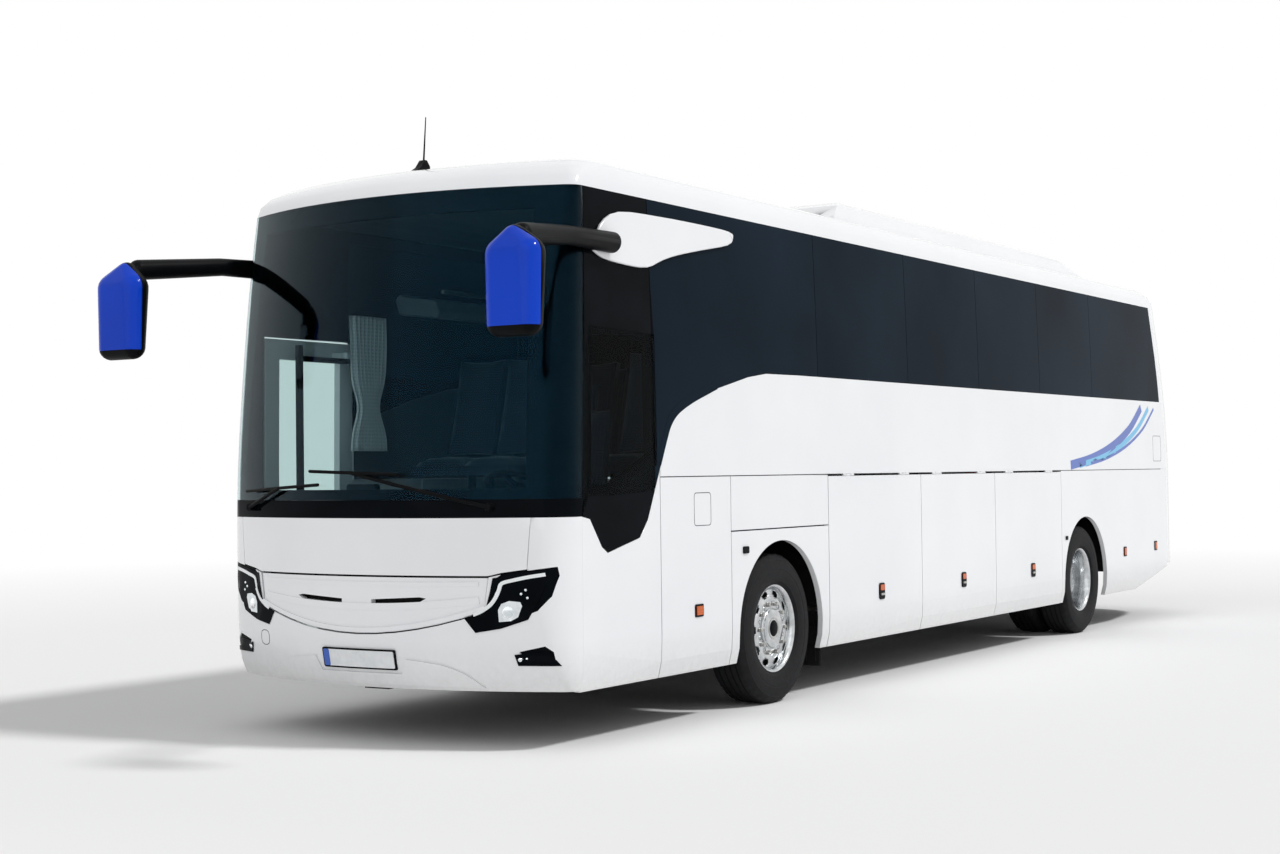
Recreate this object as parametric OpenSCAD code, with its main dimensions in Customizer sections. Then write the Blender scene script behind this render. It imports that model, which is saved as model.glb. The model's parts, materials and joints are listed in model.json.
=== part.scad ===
// Two-axle touring coach, in millimetres.
// +X is forward, +Y is the driver's (left) side, +Z is up, and the road is z = 0.
// Inside the modules x is measured from the front axle. placed() moves the whole coach so that
// the origin lies on the road under the middle of its overall box.

/* [Overall] */
// Front axle to rear axle
wheelbase = 6090; // [5800:10:6400]
// Front axle to the foremost point of the body
front_overhang = 2865; // [2800:5:2950]
// Rear axle to the rearmost point of the body
rear_overhang = 3250; // [3150:10:3400]
// Width over the body sides
body_w = 2550; // [2500:5:2600]
// Road to the crown of the roof
roof_h = 3485; // [3450:5:3560]
// How far the mirrors reach ahead of the body
mirror_reach = 520; // [480:5:560]

/* [Side] */
// Road to the lower edge of the side panels
skirt_z = 320; // [300:5:340]
// Road to the hinge line of the luggage flaps
waist_z = 1522; // [1500:2:1540]
// Road to the lower edge of the window band
window_z = 2205; // [2180:5:2240]
// Road to the upper edge of the window band
cantrail_z = 3200; // [3180:5:3220]
// Thickness of the flaps and lower panels
panel_t = 40; // [30:1:50]
// Thickness of the side wall with its lining
wall_t = 60; // [50:1:70]
// Thickness of the bonded side glass
glass_t = 10; // [8:1:14]
// Gap between neighbouring panels
panel_gap = 8; // [6:1:10]

/* [Wheels] */
// Outer radius of the tyres
tyre_r = 500; // [490:2:505]
// Width of one tyre
tyre_w = 290; // [275:1:300]
// Road wheel centre plane to the middle of the coach
track_half = 1090; // [1080:1:1095]
// Distance between the centre planes of twin wheels
twin_pitch = 325; // [315:1:335]
// Radius of the wheel arches
arch_r = 590; // [580:1:600]
// Bolts on one wheel hub
wheel_bolts = 10; // [8:1:10]
// Steering pivot to the middle of the coach
kingpin_y = 1000; // [995:1:1005]
// Radius of the kingpins
kingpin_r = 25; // [20:1:28]
// Radius of the rear axle ends in the hubs
spindle_r = 60; // [50:1:65]

/* [Floor] */
// Road to the top of the saloon floor
floor_z = 1250; // [1230:5:1260]
// Thickness of floors and bulkheads
plate_t = 40; // [30:1:45]
// Road to the top of the driver's platform
cockpit_z = 900; // [870:5:920]
// Rows of passenger seats
seat_rows = 11; // [9:1:11]
// Distance between seat rows
seat_pitch = 800; // [780:5:810]

/* [Doors and flaps] */
// Width of the entrance door
door_w = 840; // [800:5:850]
// Road to the top of the entrance door
door_top_z = 2440; // [2400:5:2460]
// Road to the top of the middle door
mid_door_top_z = 2180; // [2150:5:2185]
// Reach of a door's swing arm
door_arm = 450; // [430:5:460]
// Radius of a door's swing post
post_r = 25; // [20:1:28]
// Radius of the hinge pins of flaps and engine lid
hinge_pin_r = 4; // [3:0.5:4.5]
// Outer radius of the hinge knuckles
knuckle_r = 7; // [6.5:0.5:9]

/* [Equipment] */
// Height of the air conditioning pod above the roof crown
pod_h = 165; // [140:5:190]
// Length of the roof aerial
aerial_h = 345; // [300:5:380]
// Radius of the towing eye's socket
tow_r = 20; // [16:1:22]
// Depth of the towing eye's socket
tow_depth = 90; // [80:1:100]

/* [Hidden] */
$fn = 48;
// Clearance of a seated piece, and of a pin in its bore
seat_gap = 0.3;
EPS = 1;
half_w = body_w / 2;
nose_x = front_overhang;
tail_x = -wheelbase - rear_overhang;
rear_axle_x = -wheelbase;
front_axle_x = (rear_overhang + wheelbase - front_overhang - mirror_reach) / 2;
axle_z = tyre_r;

// Sections of the body, from the skirt to the roof crown. Each row holds the height, then how far
// the side, the nose, the nose's corner, the tail and the tail's corner lie inside the full box.
Z = 0; SIDE = 1; NOSE = 2; NOSE_CORNER = 3; TAIL = 4; TAIL_CORNER = 5;
SECTIONS = [
    [skirt_z,       30,  105,  465,   70,  720],
    [420,            6,   50,  465,   30,  720],
    [540,            0,   22,  465,   10,  720],
    [800,            0,    5,  465,    0,  720],
    [1310,           0,    0,  465,    0,  720],
    [1700,           2,   16,  480,    8,  726],
    [2200,          10,   62,  508,   60,  780],
    [2700,          22,  124,  538,  165,  900],
    [cantrail_z,    40,  212,  565,  320, 1040],
    [roof_h - 222,  47,  240,  585,  350, 1062],
    [roof_h - 165,  72,  305,  665,  430, 1120],
    [roof_h - 115, 125,  425,  785,  550, 1190],
    [roof_h - 75,  225,  625,  965,  730, 1240],
    [roof_h - 45,  375,  865, 1115,  930, 1290],
    [roof_h - 20,  625, 1085, 1165, 1130, 1320],
    [roof_h,      1245, 1175, 1183, 1325, 1336]];
LAST = len(SECTIONS) - 1;
cap_seam_x = nose_x - 1185;
tail_seam_x = tail_x + 1340;
NOSE_BOW = 2750;
TAIL_BOW = 3500;

function segment_of(z, k = 0) = k >= LAST - 1 || z < SECTIONS[k + 1][Z] ? k : segment_of(z, k + 1);
function rate(c, k) = let (a = max(k - 1, 0), b = min(k + 1, LAST))
    (SECTIONS[b][c] - SECTIONS[a][c]) / (SECTIONS[b][Z] - SECTIONS[a][Z]);
// Inset of one column at any height, as a smooth curve through the sections
function inset(c, z) = let (
        k = segment_of(z),
        h = SECTIONS[k + 1][Z] - SECTIONS[k][Z],
        s = (z - SECTIONS[k][Z]) / h)
    (2 * s^3 - 3 * s^2 + 1) * SECTIONS[k][c] + (s^3 - 2 * s^2 + s) * rate(c, k) * h
    + (3 * s^2 - 2 * s^3) * SECTIONS[k + 1][c] + (s^3 - s^2) * rate(c, k + 1) * h;
function side_y(z) = half_w - inset(SIDE, z);
// Where the corners start on the side, in straight lines that flat panels can meet
function corner_inset(c, z) = lookup(z, [for (r = SECTIONS) [r[Z], r[c]]]);
function nose_corner_x(z) = nose_x - corner_inset(NOSE_CORNER, z);
function tail_corner_x(z) = tail_x + corner_inset(TAIL_CORNER, z);
// Share of an inward step that goes sideways and downwards, where a curve leans by dy for each dz
function step_in(lean) = [1, -lean] / sqrt(1 + lean^2);
function lean_of(c, z) = -(inset(c, z + EPS) - inset(c, z - EPS)) / (2 * EPS);

// One end of the body in plan: half a ring from the side round the corner to the middle, as
// [distance outwards, y]. The corner's radius follows from where it starts on the side.
CORNER_STEPS = 6;
FACE_STEPS = 8;
function end_half(w, reach, corner, bow) = let (
        r = max((bow^2 - w^2 - (corner - reach + bow)^2) / (2 * (bow - w)), 1),
        turn = atan2(w - r, corner - reach + bow))
    concat(
        [for (i = [0 : CORNER_STEPS - 1]) let (a = 90 - (90 - turn) * i / CORNER_STEPS)
            [corner + r * cos(a), w - r + r * sin(a)]],
        [for (i = [0 : FACE_STEPS]) let (a = turn * (1 - i / FACE_STEPS))
            [reach - bow + bow * cos(a), bow * sin(a)]]);
// The whole ring at height z, a depth d inside the skin. lead adds the straight sides back to there.
function end_ring(front, z, d, lead) = let (
        nose_col = front ? NOSE : TAIL,
        corner_col = front ? NOSE_CORNER : TAIL_CORNER,
        side_in = z < cantrail_z + 1 ? [1, 0] : step_in(lean_of(SIDE, z)),
        face_in = z < cantrail_z + 1 ? [1, 0] : step_in(lean_of(nose_col, z)),
        full = front ? nose_x : -tail_x,
        w = max(side_y(z) - d * side_in[0], 4),
        reach = full - inset(nose_col, z) - d * face_in[0],
        corner = min(full - corner_inset(corner_col, z), reach - 1),
        half = end_half(w, reach, corner, front ? NOSE_BOW : TAIL_BOW),
        start = is_undef(lead) ? [] : [[front ? lead : -lead, w]],
        left = concat(start, half),
        n = len(left))
    [for (i = [0 : 2 * n - 2]) let (p = i < n ? left[i] : left[2 * n - 2 - i])
        [front ? p[0] : -p[0], i < n ? p[1] : -p[1], z - d * side_in[1]]];
// A closed sheet between two depths over a list of heights at one end of the body
module end_sheet(front, heights, d0, d1, lead = undef) {
    outer = [for (z = heights) end_ring(front, z, d0, lead)];
    inner = [for (z = heights) end_ring(front, z, d1, lead)];
    rows = len(heights);
    cols = len(outer[0]);
    points = [for (layer = [outer, inner]) for (row = layer) for (p = row) p];
    function at(layer, r, c) = (layer * rows + r) * cols + c;
    function quad(a, b, c, d) = front ? [[c, b, a], [d, c, a]] : [[a, b, c], [a, c, d]];
    faces = concat(
        [for (r = [0 : rows - 2]) for (c = [0 : cols - 2])
            for (f = quad(at(0, r, c), at(0, r + 1, c), at(0, r + 1, c + 1), at(0, r, c + 1))) f],
        [for (r = [0 : rows - 2]) for (c = [0 : cols - 2])
            for (f = quad(at(1, r, c), at(1, r, c + 1), at(1, r + 1, c + 1), at(1, r + 1, c))) f],
        [for (c = [0 : cols - 2])
            for (f = quad(at(0, 0, c), at(0, 0, c + 1), at(1, 0, c + 1), at(1, 0, c))) f],
        [for (c = [0 : cols - 2])
            for (f = quad(at(0, rows - 1, c), at(1, rows - 1, c), at(1, rows - 1, c + 1), at(0, rows - 1, c + 1))) f],
        [for (r = [0 : rows - 2])
            for (f = quad(at(0, r, 0), at(1, r, 0), at(1, r + 1, 0), at(0, r + 1, 0))) f],
        [for (r = [0 : rows - 2])
            for (f = quad(at(0, r, cols - 1), at(0, r + 1, cols - 1), at(1, r + 1, cols - 1), at(1, r, cols - 1))) f]);
    polyhedron(points, faces, convexity = 6);
}
function steps(a, b, n) = [for (i = [0 : n]) a + (b - a) * i / n];
function section_heights(from, to) = [for (r = SECTIONS) if (r[Z] > from && r[Z] < to) r[Z]];

// Working aids
module placed() translate([front_axle_x, 0, 0]) children();
module both_sides() { children(); mirror([0, 1, 0]) children(); }
module box(a, b) translate(a) cube(b - a);
// A prism along X from a profile drawn in Y and Z
module along_x(x0, x1) translate([x0, 0, 0]) rotate([90, 0, 90]) linear_extrude(x1 - x0) children();
// A prism through the left side from an outline drawn in X and Z
SIDE_REACH = 400;
module through_left() translate([0, half_w + SIDE_REACH / 2, 0]) rotate([90, 0, 0]) linear_extrude(SIDE_REACH) children();
// A prism through the nose or the tail from an outline drawn in Y and Z
module through_nose() along_x(nose_x - 700, nose_x + 200) children();
module through_tail() along_x(tail_x - 200, tail_x + 900) children();
// The left wall between two depths and two heights, over the whole length of the coach
function wall_heights(z0, z1) = concat([z0], section_heights(z0, z1), [z1]);
module wall_layer(z0, z1, d0, d1) {
    heights = wall_heights(z0, z1);
    n = len(heights);
    along_x(tail_x, nose_x) polygon(concat(
        [for (z = heights) [side_y(z) - d0, z]],
        [for (i = [0 : n - 1]) [side_y(heights[n - 1 - i]) - d1, heights[n - 1 - i]]]));
}
module wall_piece(outline, d0, d1) {
    zs = [for (p = outline) p[1]];
    intersection() {
        wall_layer(min(zs) - EPS < skirt_z ? skirt_z : min(zs), min(max(zs), roof_h - 1), d0, d1);
        through_left() polygon(outline);
    }
}
function rect(x0, x1, z0, z1) = [[x0, z0], [x1, z0], [x1, z1], [x0, z1]];
function shifted(outline, dx, dz) = [for (p = outline) p + [dx, dz]];

// Panel seams along the left side, measured from the front axle
front_split_x = nose_corner_x(1000);
tail_split_x = tail_corner_x(1000);
cab_seam_x = 1552;
arch_seam_front_x = 690;
arch_seam_rear_x = -700;
bay_seam_1_x = -2297;
bay_seam_2_x = -3821;
bay_seam_3_x = rear_axle_x + 660;
arch_panel_z = 1172;
mask_top_z = 1310;
// Lower edge of the black window band, from the windscreen pillar to the tail
BAND_EDGE = [[2318, 1295], [2197, 1132], [2135, 1095], [1788, 1169], [1696, 1272], [cab_seam_x, 1569],
    [1400, 1880], [1340, 1935], [812, 2085], [420, 2168], [180, window_z - 6], [-300, window_z]];
function band_edge_z(x) = lookup(x, [for (p = BAND_EDGE) if (p[0] < 1790) p]);
function band_tail_x(z) = tail_corner_x(z) + 60;
BAND_TAIL = [[band_tail_x(2300), window_z + 20], [band_tail_x(2450), 2450], [band_tail_x(2700), 2700],
    [band_tail_x(3000), 3000], [band_tail_x(cantrail_z), cantrail_z]];
function band_outline(grow) = concat(
    [[nose_corner_x(cantrail_z) - panel_gap, cantrail_z], [nose_corner_x(mask_top_z) - panel_gap, mask_top_z + grow]],
    shifted(BAND_EDGE, 0, grow), shifted(BAND_TAIL, grow, 0));
// Seams between the side panes, front to rear
PANE_SEAMS = [1610, -583, -2108, -3530, -4956, -6360];
pane_gap = 6;
// Entrance door and middle door on the right side
door_front_x = nose_corner_x(door_top_z) - 40;
door_rear_x = door_front_x - door_w;
mid_door_front_x = bay_seam_2_x - 60;
mid_door_rear_x = mid_door_front_x - door_w;
door_gap = 12;
door_sill_z = skirt_z + 25;

// Roof

module roof_profile(d) {
    heights = concat([cantrail_z + seat_gap], section_heights(cantrail_z + 1, roof_h), [roof_h]);
    ring = [for (z = heights) let (s = step_in(lean_of(SIDE, min(z, roof_h - 2)))) [side_y(z) - d * s[0], z - d * s[1]]];
    n = len(ring);
    polygon(concat(ring, [for (i = [0 : n - 1]) [-ring[n - 1 - i][0], ring[n - 1 - i][1]]]));
}
roof_t = 60;
module roof() color("white") along_x(tail_seam_x + seat_gap, cap_seam_x - seat_gap) difference() {
    roof_profile(0);
    intersection() {
        roof_profile(roof_t);
        translate([-half_w, cantrail_z - 200]) square([body_w, roof_h]);
    }
    translate([-half_w + inset(SIDE, cantrail_z) + roof_t, cantrail_z - 10]) square([2 * (side_y(cantrail_z) - roof_t), 60]);
}
CAP_HEIGHTS = concat([cantrail_z + seat_gap], section_heights(cantrail_z + 1, roof_h - 1), [roof_h - 3]);
module roof_caps() color("white") {
    end_sheet(true, CAP_HEIGHTS, 0, roof_t, cap_seam_x);
    end_sheet(false, CAP_HEIGHTS, 0, roof_t, tail_seam_x);
}

// Nose

NOSE_HEIGHTS = [skirt_z + 10, 370, 420, 480, 540, 660, 800, 960, 1130, 1240, mask_top_z];
nose_t = 40;
module nose_skin(d0 = 0, d1 = nose_t) end_sheet(true, NOSE_HEIGHTS, d0, d1);
// Outlines on the nose, in Y and Z, for the left half or for the whole
flap_half_w = 1065;
FLAP_HALF = [[flap_half_w + 25, mask_top_z + 10], [flap_half_w, 1022], [930, 1003], [850, 985]];
FLAP_OUTLINE = concat(FLAP_HALF, [for (i = [0 : 3]) [-FLAP_HALF[3 - i][0], FLAP_HALF[3 - i][1]]]);
grille_half_w = 835;
GRILLE_STEPS = 12;
function grille_low_z(y) = 645 + 140 * (y / grille_half_w)^2;
function grille_outline(g) = concat(
    [[-grille_half_w - g - 20, 977 + g], [grille_half_w + g + 20, 977 + g], [grille_half_w + g, 850]],
    [for (i = [0 : GRILLE_STEPS]) let (y = grille_half_w * (1 - 2 * i / GRILLE_STEPS)) [y, grille_low_z(y) - g]],
    [[-grille_half_w - g, 850]]);
// Headlamp and fog lamp of the left half
function lamp_outline(g) = [[875 - g, 955 + g], [930, 995 + g], [1215 + g, 1035 + g], [1222 + g, 985],
    [1190 + g, 870], [1120, 790 - g], [905 - g, 705 - g], [860 - g, 780], [925 - g, 850]];
function fog_outline(g) = [[1010 - g, 560 + g], [1150, 592 + g], [1190 + g, 560], [1196 + g, 515 - g], [1030 - g, 515 - g]];
slot_half_w = 480;
module front_flap() color("white") intersection() {
    nose_skin();
    through_nose() polygon(FLAP_OUTLINE);
}
module grille_panel() color("white") difference() {
    intersection() {
        nose_skin(8, nose_t + 8);
        through_nose() polygon(grille_outline(-panel_gap / 2));
    }
    through_nose() for (s = [-1, 1]) polygon([[s * 110, 845], [s * 110, 815], [s * 440, 835], [s * slot_half_w, 855], [s * 440, 862]]);
}
module front_lamps() color("darkslategray") both_sides() {
    intersection() {
        nose_skin(4, nose_t);
        through_nose() polygon(lamp_outline(-seat_gap));
    }
    intersection() {
        nose_skin(12, nose_t);
        through_nose() polygon(fog_outline(-seat_gap));
    }
}
module bumper() color("white") difference() {
        nose_skin();
        through_nose() polygon([for (p = FLAP_OUTLINE) p + [sign(p[0]) * panel_gap / 2, p[1] > mask_top_z ? 20 : -panel_gap - 1]]);
        through_nose() polygon(grille_outline(panel_gap / 2));
        both_sides() {
            through_nose() polygon(lamp_outline(0));
            through_nose() polygon(fog_outline(0));
        }
}

// Windscreen, its pillars and the scuttle

screen_low_z = 1415;
SCREEN_HEIGHTS = concat(steps(screen_low_z, 2900, 8), [3040, cantrail_z]);
screen_t = 12;
module windscreen() color("lightblue", 0.5) end_sheet(true, SCREEN_HEIGHTS, 0, screen_t);
SCUTTLE_HEIGHTS = [mask_top_z + seat_gap, 1360, screen_low_z - seat_gap];
module windscreen_surround() color("black") {
    // Scuttle below the glass
    end_sheet(true, SCUTTLE_HEIGHTS, 0, nose_t);
    // Pillars and header inside the glass
    difference() {
        end_sheet(true, SCREEN_HEIGHTS, screen_t + 2 * seat_gap, screen_t + 60);
        along_x(front_split_x - 400, nose_x + 100) polygon([[-1060, screen_low_z + 60], [1060, screen_low_z + 60],
            [1020, cantrail_z - 130], [-1020, cantrail_z - 130]]);
    }
}

// Side walls

module left_band_cut(grow) through_left() polygon(band_outline(grow));
function white_outline() = concat(
    [[tail_corner_x(waist_z) + seat_gap, waist_z + panel_gap], [cab_seam_x - panel_gap / 2, waist_z + panel_gap]],
    [[cab_seam_x - panel_gap / 2, band_edge_z(cab_seam_x - panel_gap / 2)]],
    [for (i = [6 : len(BAND_EDGE) - 1]) BAND_EDGE[i]],
    [[band_tail_x(2300), window_z + 20], [band_tail_x(2450), 2450], [band_tail_x(2700), 2700],
     [band_tail_x(3000), 3000], [band_tail_x(cantrail_z), cantrail_z],
     [tail_corner_x(cantrail_z) + seat_gap, cantrail_z], [tail_corner_x(3000) + seat_gap, 3000],
     [tail_corner_x(2700) + seat_gap, 2700], [tail_corner_x(2450) + seat_gap, 2450], [tail_corner_x(2200) + seat_gap, 2200],
     [tail_corner_x(1700) + seat_gap, 1700]]);
HINGE_SHARES = [0.2, 0.8];
hinge_len = 60;
// Pin and fixed knuckles of a flap between x0 and x1, carried by the panel above it
module hinge_fixed(x0, x1) for (k = HINGE_SHARES) translate([x0 + (x1 - x0) * k, half_w, waist_z]) {
    rotate([0, 90, 0]) cylinder(r = hinge_pin_r, h = 3 * hinge_len, center = true);
    for (s = [-1, 1]) translate([s * hinge_len, 0, 0]) {
        rotate([0, 90, 0]) cylinder(r = knuckle_r, h = hinge_len - 10, center = true);
        translate([-hinge_len / 2 + 5, -knuckle_r * 2, 0]) cube([hinge_len - 10, knuckle_r * 2, panel_gap + 20]);
    }
}
module hinge_moving(x0, x1) for (k = HINGE_SHARES) translate([x0 + (x1 - x0) * k, half_w, waist_z]) difference() {
    union() {
        rotate([0, 90, 0]) cylinder(r = knuckle_r, h = hinge_len - 2, center = true);
        translate([-hinge_len / 2 + 1, -knuckle_r * 2, -panel_gap - 20]) cube([hinge_len - 2, knuckle_r * 2, panel_gap + 20]);
    }
    rotate([0, 90, 0]) cylinder(r = hinge_pin_r + seat_gap, h = 2 * hinge_len, center = true);
}
module side_panel_half() wall_piece(white_outline(), 0, wall_t);
LEFT_FLAPS = [[arch_seam_rear_x, bay_seam_1_x], [bay_seam_1_x, bay_seam_2_x], [bay_seam_2_x, bay_seam_3_x]];
RIGHT_FLAPS = [[arch_seam_rear_x, bay_seam_1_x], [bay_seam_1_x, bay_seam_2_x]];
module side_panels() color("white") {
    side_panel_half();
    for (f = LEFT_FLAPS) hinge_fixed(f[1], f[0]);
    mirror([0, 1, 0]) {
        difference() {
            side_panel_half();
            through_left() polygon(rect(door_rear_x - door_gap, 4000, 0, door_top_z + door_gap));
            through_left() polygon(rect(mid_door_rear_x - door_gap, mid_door_front_x + door_gap, 0, mid_door_top_z + door_gap));
        }
        for (f = RIGHT_FLAPS) hinge_fixed(f[1], f[0]);
    }
}
// Window frames behind the glass, with one opening for each pane
frame_rail = 90;
DRIVER_PANE = [[nose_corner_x(2400) - 60, 2400], [1580, 2385], [1580, 1600], [2086, 1425], [nose_corner_x(1425) - 60, 1425]];
function pane_span(i) = [i + 1 < len(PANE_SEAMS) ? PANE_SEAMS[i + 1] : band_tail_x(2700), PANE_SEAMS[i]];
module frame_openings() {
    for (i = [0 : len(PANE_SEAMS) - 1]) let (s = pane_span(i))
        through_left() polygon(rect(s[0] + frame_rail, s[1] - frame_rail, (i == 0 ? 2230 : window_z + 60), cantrail_z - 80));
}
module band_frame_half() difference() {
    wall_piece(band_outline(0.5), glass_t + seat_gap, wall_t);
    frame_openings();
}
module window_frames() color("black") {
    difference() {
        band_frame_half();
        through_left() polygon([[nose_corner_x(2360) - 100, 2360], [1640, 2345], [1640, 1660], [2080, 1490], [nose_corner_x(1490) - 100, 1490]]);
    }
    mirror([0, 1, 0]) difference() {
        band_frame_half();
        through_left() polygon(rect(door_rear_x - door_gap, door_front_x + door_gap, 0, door_top_z + door_gap));
    }
}
module band_glass_half() difference() {
    wall_piece(band_outline(panel_gap / 2), 0, glass_t);
    for (x = PANE_SEAMS) through_left() polygon(rect(x - pane_gap / 2, x + pane_gap / 2, 0, roof_h));
}
module side_glass() color("black", 0.7) {
    difference() {
        band_glass_half();
        difference() {
            through_left() polygon(DRIVER_PANE);
            translate([0, 0, 0]) through_left() polygon([[nose_corner_x(2394) - 66, 2394], [1586, 2379], [1586, 1604], [2087, 1431], [nose_corner_x(1431) - 66, 1431]]);
        }
    }
    mirror([0, 1, 0]) difference() {
        band_glass_half();
        through_left() polygon(rect(door_rear_x - door_gap, door_front_x + door_gap, 0, door_top_z + door_gap));
    }
}

// Lower panels, flaps and doors

tail_rise_x = rear_axle_x - 1540;
function skirt_rise(x) = x > tail_rise_x ? skirt_z : skirt_z + (tail_rise_x - x) * 0.19;
function cab_outline() = concat([[front_split_x - seat_gap, skirt_z], [front_split_x - seat_gap, mask_top_z]],
    [for (i = [0 : 4]) BAND_EDGE[i] - [0, seat_gap]],
    [[cab_seam_x + panel_gap / 2, band_edge_z(cab_seam_x + panel_gap / 2) - seat_gap], [cab_seam_x + panel_gap / 2, skirt_z]]);
module arch_cut(x) translate([x, 0, axle_z]) rotate([-90, 0, 0]) {
    cylinder(r = arch_r, h = 2000);
    translate([-arch_r, 0, 0]) cube([2 * arch_r, axle_z, 2000]);
}
REAR_PANEL = [[bay_seam_3_x - panel_gap / 2, skirt_z], [bay_seam_3_x - panel_gap / 2, waist_z - seat_gap + panel_gap],
    [tail_corner_x(waist_z + panel_gap) + seat_gap, waist_z - seat_gap + panel_gap], [tail_split_x + seat_gap, mask_top_z],
    [tail_split_x + seat_gap, skirt_rise(tail_split_x)], [tail_rise_x, skirt_z]];
module lower_panels_common() {
    wall_piece(rect(arch_seam_front_x + panel_gap / 2, cab_seam_x - panel_gap / 2, skirt_z, waist_z + panel_gap - seat_gap), 0, panel_t);
    wall_piece(rect(arch_seam_rear_x + panel_gap / 2, arch_seam_front_x - panel_gap / 2, arch_panel_z + panel_gap / 2, waist_z + panel_gap - seat_gap), 0, panel_t);
    difference() {
        wall_piece(rect(arch_seam_rear_x + panel_gap / 2, arch_seam_front_x - panel_gap / 2, skirt_z, arch_panel_z - panel_gap / 2), 0, panel_t);
        arch_cut(0);
    }
    difference() {
        wall_piece(REAR_PANEL, 0, panel_t);
        arch_cut(rear_axle_x);
    }
}
module lower_panels() color("white") {
    lower_panels_common();
    wall_piece(cab_outline(), 0, panel_t);
    mirror([0, 1, 0]) {
        difference() {
            lower_panels_common();
            through_left() polygon(rect(door_rear_x - door_gap, 4000, 0, 2000));
        }
        difference() {
            wall_piece(cab_outline(), 0, panel_t);
            through_left() polygon(rect(0, door_front_x + door_gap, 0, roof_h));
        }
        wall_piece(rect(bay_seam_3_x + panel_gap / 2, mid_door_rear_x - door_gap, skirt_z, waist_z + panel_gap - seat_gap), 0, panel_t);
    }
}
module flap(x0, x1) color("white") {
    difference() {
        wall_piece(rect(x0 + panel_gap / 2, x1 - panel_gap / 2, skirt_z, waist_z - panel_gap), 0, panel_t);
        for (k = HINGE_SHARES) translate([x0 + (x1 - x0) * k, half_w, waist_z]) for (s = [-1, 1])
            translate([s * hinge_len - hinge_len / 2 - 2, -60, -panel_gap - 30]) cube([hinge_len + 4, 1, 1]);
    }
    hinge_moving(x0, x1);
}
// A door leaf with its inner brackets, on a swing arm. The arm's post stands inside, near the edge
// that the door moves towards: ahead is 1 for the front edge and -1 for the rear edge.
door_pivot_y = half_w - 175;
post_inset = 200;
ARM_HEIGHTS = [660, door_top_z - 108];
MID_ARM_HEIGHTS = [760, 1800];
pin_r = 12;
lug_h = 40;
arm_t = 34;
arm_w = 40;
function post_x(edge_x, ahead) = edge_x - ahead * post_inset;
function hinge_x(edge_x, ahead) = post_x(edge_x, ahead) - ahead * door_arm;
module door_leaf(rear_x, front_x, top_z) wall_piece(rect(rear_x, front_x, door_sill_z, top_z), 0, wall_t);
module door_lugs(x, arm_heights) for (z = arm_heights) translate([x, door_pivot_y, z]) difference() {
    union() {
        cylinder(r = 28, h = lug_h);
        translate([-arm_w / 2, 0, 0]) cube([arm_w, side_y(z) - wall_t / 2 - door_pivot_y, lug_h]);
    }
    translate([0, 0, -EPS]) cylinder(r = pin_r + seat_gap, h = lug_h + 2 * EPS);
}
module door_swing_arm(edge_x, ahead, head_z, arm_heights) {
    translate([post_x(edge_x, ahead), door_pivot_y, step_z + seat_gap]) cylinder(r = post_r, h = head_z - step_z);
    for (z = arm_heights) translate([hinge_x(edge_x, ahead), door_pivot_y, z - arm_t - seat_gap]) {
        translate([ahead > 0 ? 0 : -door_arm, -arm_w / 2, 0]) cube([door_arm, arm_w, arm_t]);
        cylinder(r = pin_r + 14, h = arm_t);
        cylinder(r = pin_r, h = arm_t + lug_h + seat_gap);
    }
}
DOOR_WINDOW = rect(door_rear_x + 90, door_front_x - 90, 720, door_top_z - 90);
module front_door() color("white") mirror([0, 1, 0]) {
    difference() {
        door_leaf(door_rear_x, door_front_x, door_top_z);
        intersection() {
            wall_layer(skirt_z, cantrail_z, -10, glass_t);
            through_left() polygon(DOOR_WINDOW);
        }
        through_left() polygon(rect(door_rear_x + 130, door_front_x - 130, 760, door_top_z - 130));
    }
    door_lugs(hinge_x(door_front_x, 1), ARM_HEIGHTS);
}
module front_door_glass() color("lightblue", 0.4) mirror([0, 1, 0])
    wall_piece([for (p = DOOR_WINDOW) p + [p[0] < door_front_x - 200 ? seat_gap : -seat_gap, p[1] < 1000 ? seat_gap : -seat_gap]], 0, glass_t - 2 * seat_gap);
module front_door_arm() color("dimgray") mirror([0, 1, 0]) door_swing_arm(door_front_x, 1, door_top_z - 40, ARM_HEIGHTS);
module mid_door() color("white") mirror([0, 1, 0]) {
    door_leaf(mid_door_rear_x, mid_door_front_x, mid_door_top_z);
    door_lugs(hinge_x(mid_door_rear_x, -1), MID_ARM_HEIGHTS);
}
module mid_door_arm() color("dimgray") mirror([0, 1, 0]) door_swing_arm(mid_door_rear_x, -1, 2050, MID_ARM_HEIGHTS);

// Tail

lid_low_z = 760;
lid_top_z = 1700;
lid_half_w = 760;
TAIL_LOW = [540, 600, 680, 800, 960, 1130, 1310, 1500, 1640, lid_top_z, lid_top_z + panel_gap];
TAIL_HIGH = [lid_top_z + panel_gap + seat_gap, 1900, 2200, 2450, 2700, 2950, cantrail_z];
tail_t = 45;
rear_glass_low_z = 2150;
module tail_low(d0, d1) end_sheet(false, TAIL_LOW, d0, d1);
LID_OUTLINE = [[-lid_half_w, lid_low_z], [lid_half_w, lid_low_z], [lid_half_w, lid_top_z - panel_gap], [-lid_half_w, lid_top_z - panel_gap]];
TAIL_LAMP = [[985, 900], [1105, 900], [1120, 1640], [1010, 1640]];
REAR_PANE = [[-960, rear_glass_low_z], [960, rear_glass_low_z], [900, cantrail_z - 90], [-900, cantrail_z - 90]];
lid_hinge_y = 180;
lid_hinge_x = tail_x + 1;
module lid_hinge_at() for (s = [-1, 1]) translate([lid_hinge_x, s * lid_hinge_y, lid_top_z]) rotate([-90, 0, 0]) children();
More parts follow.
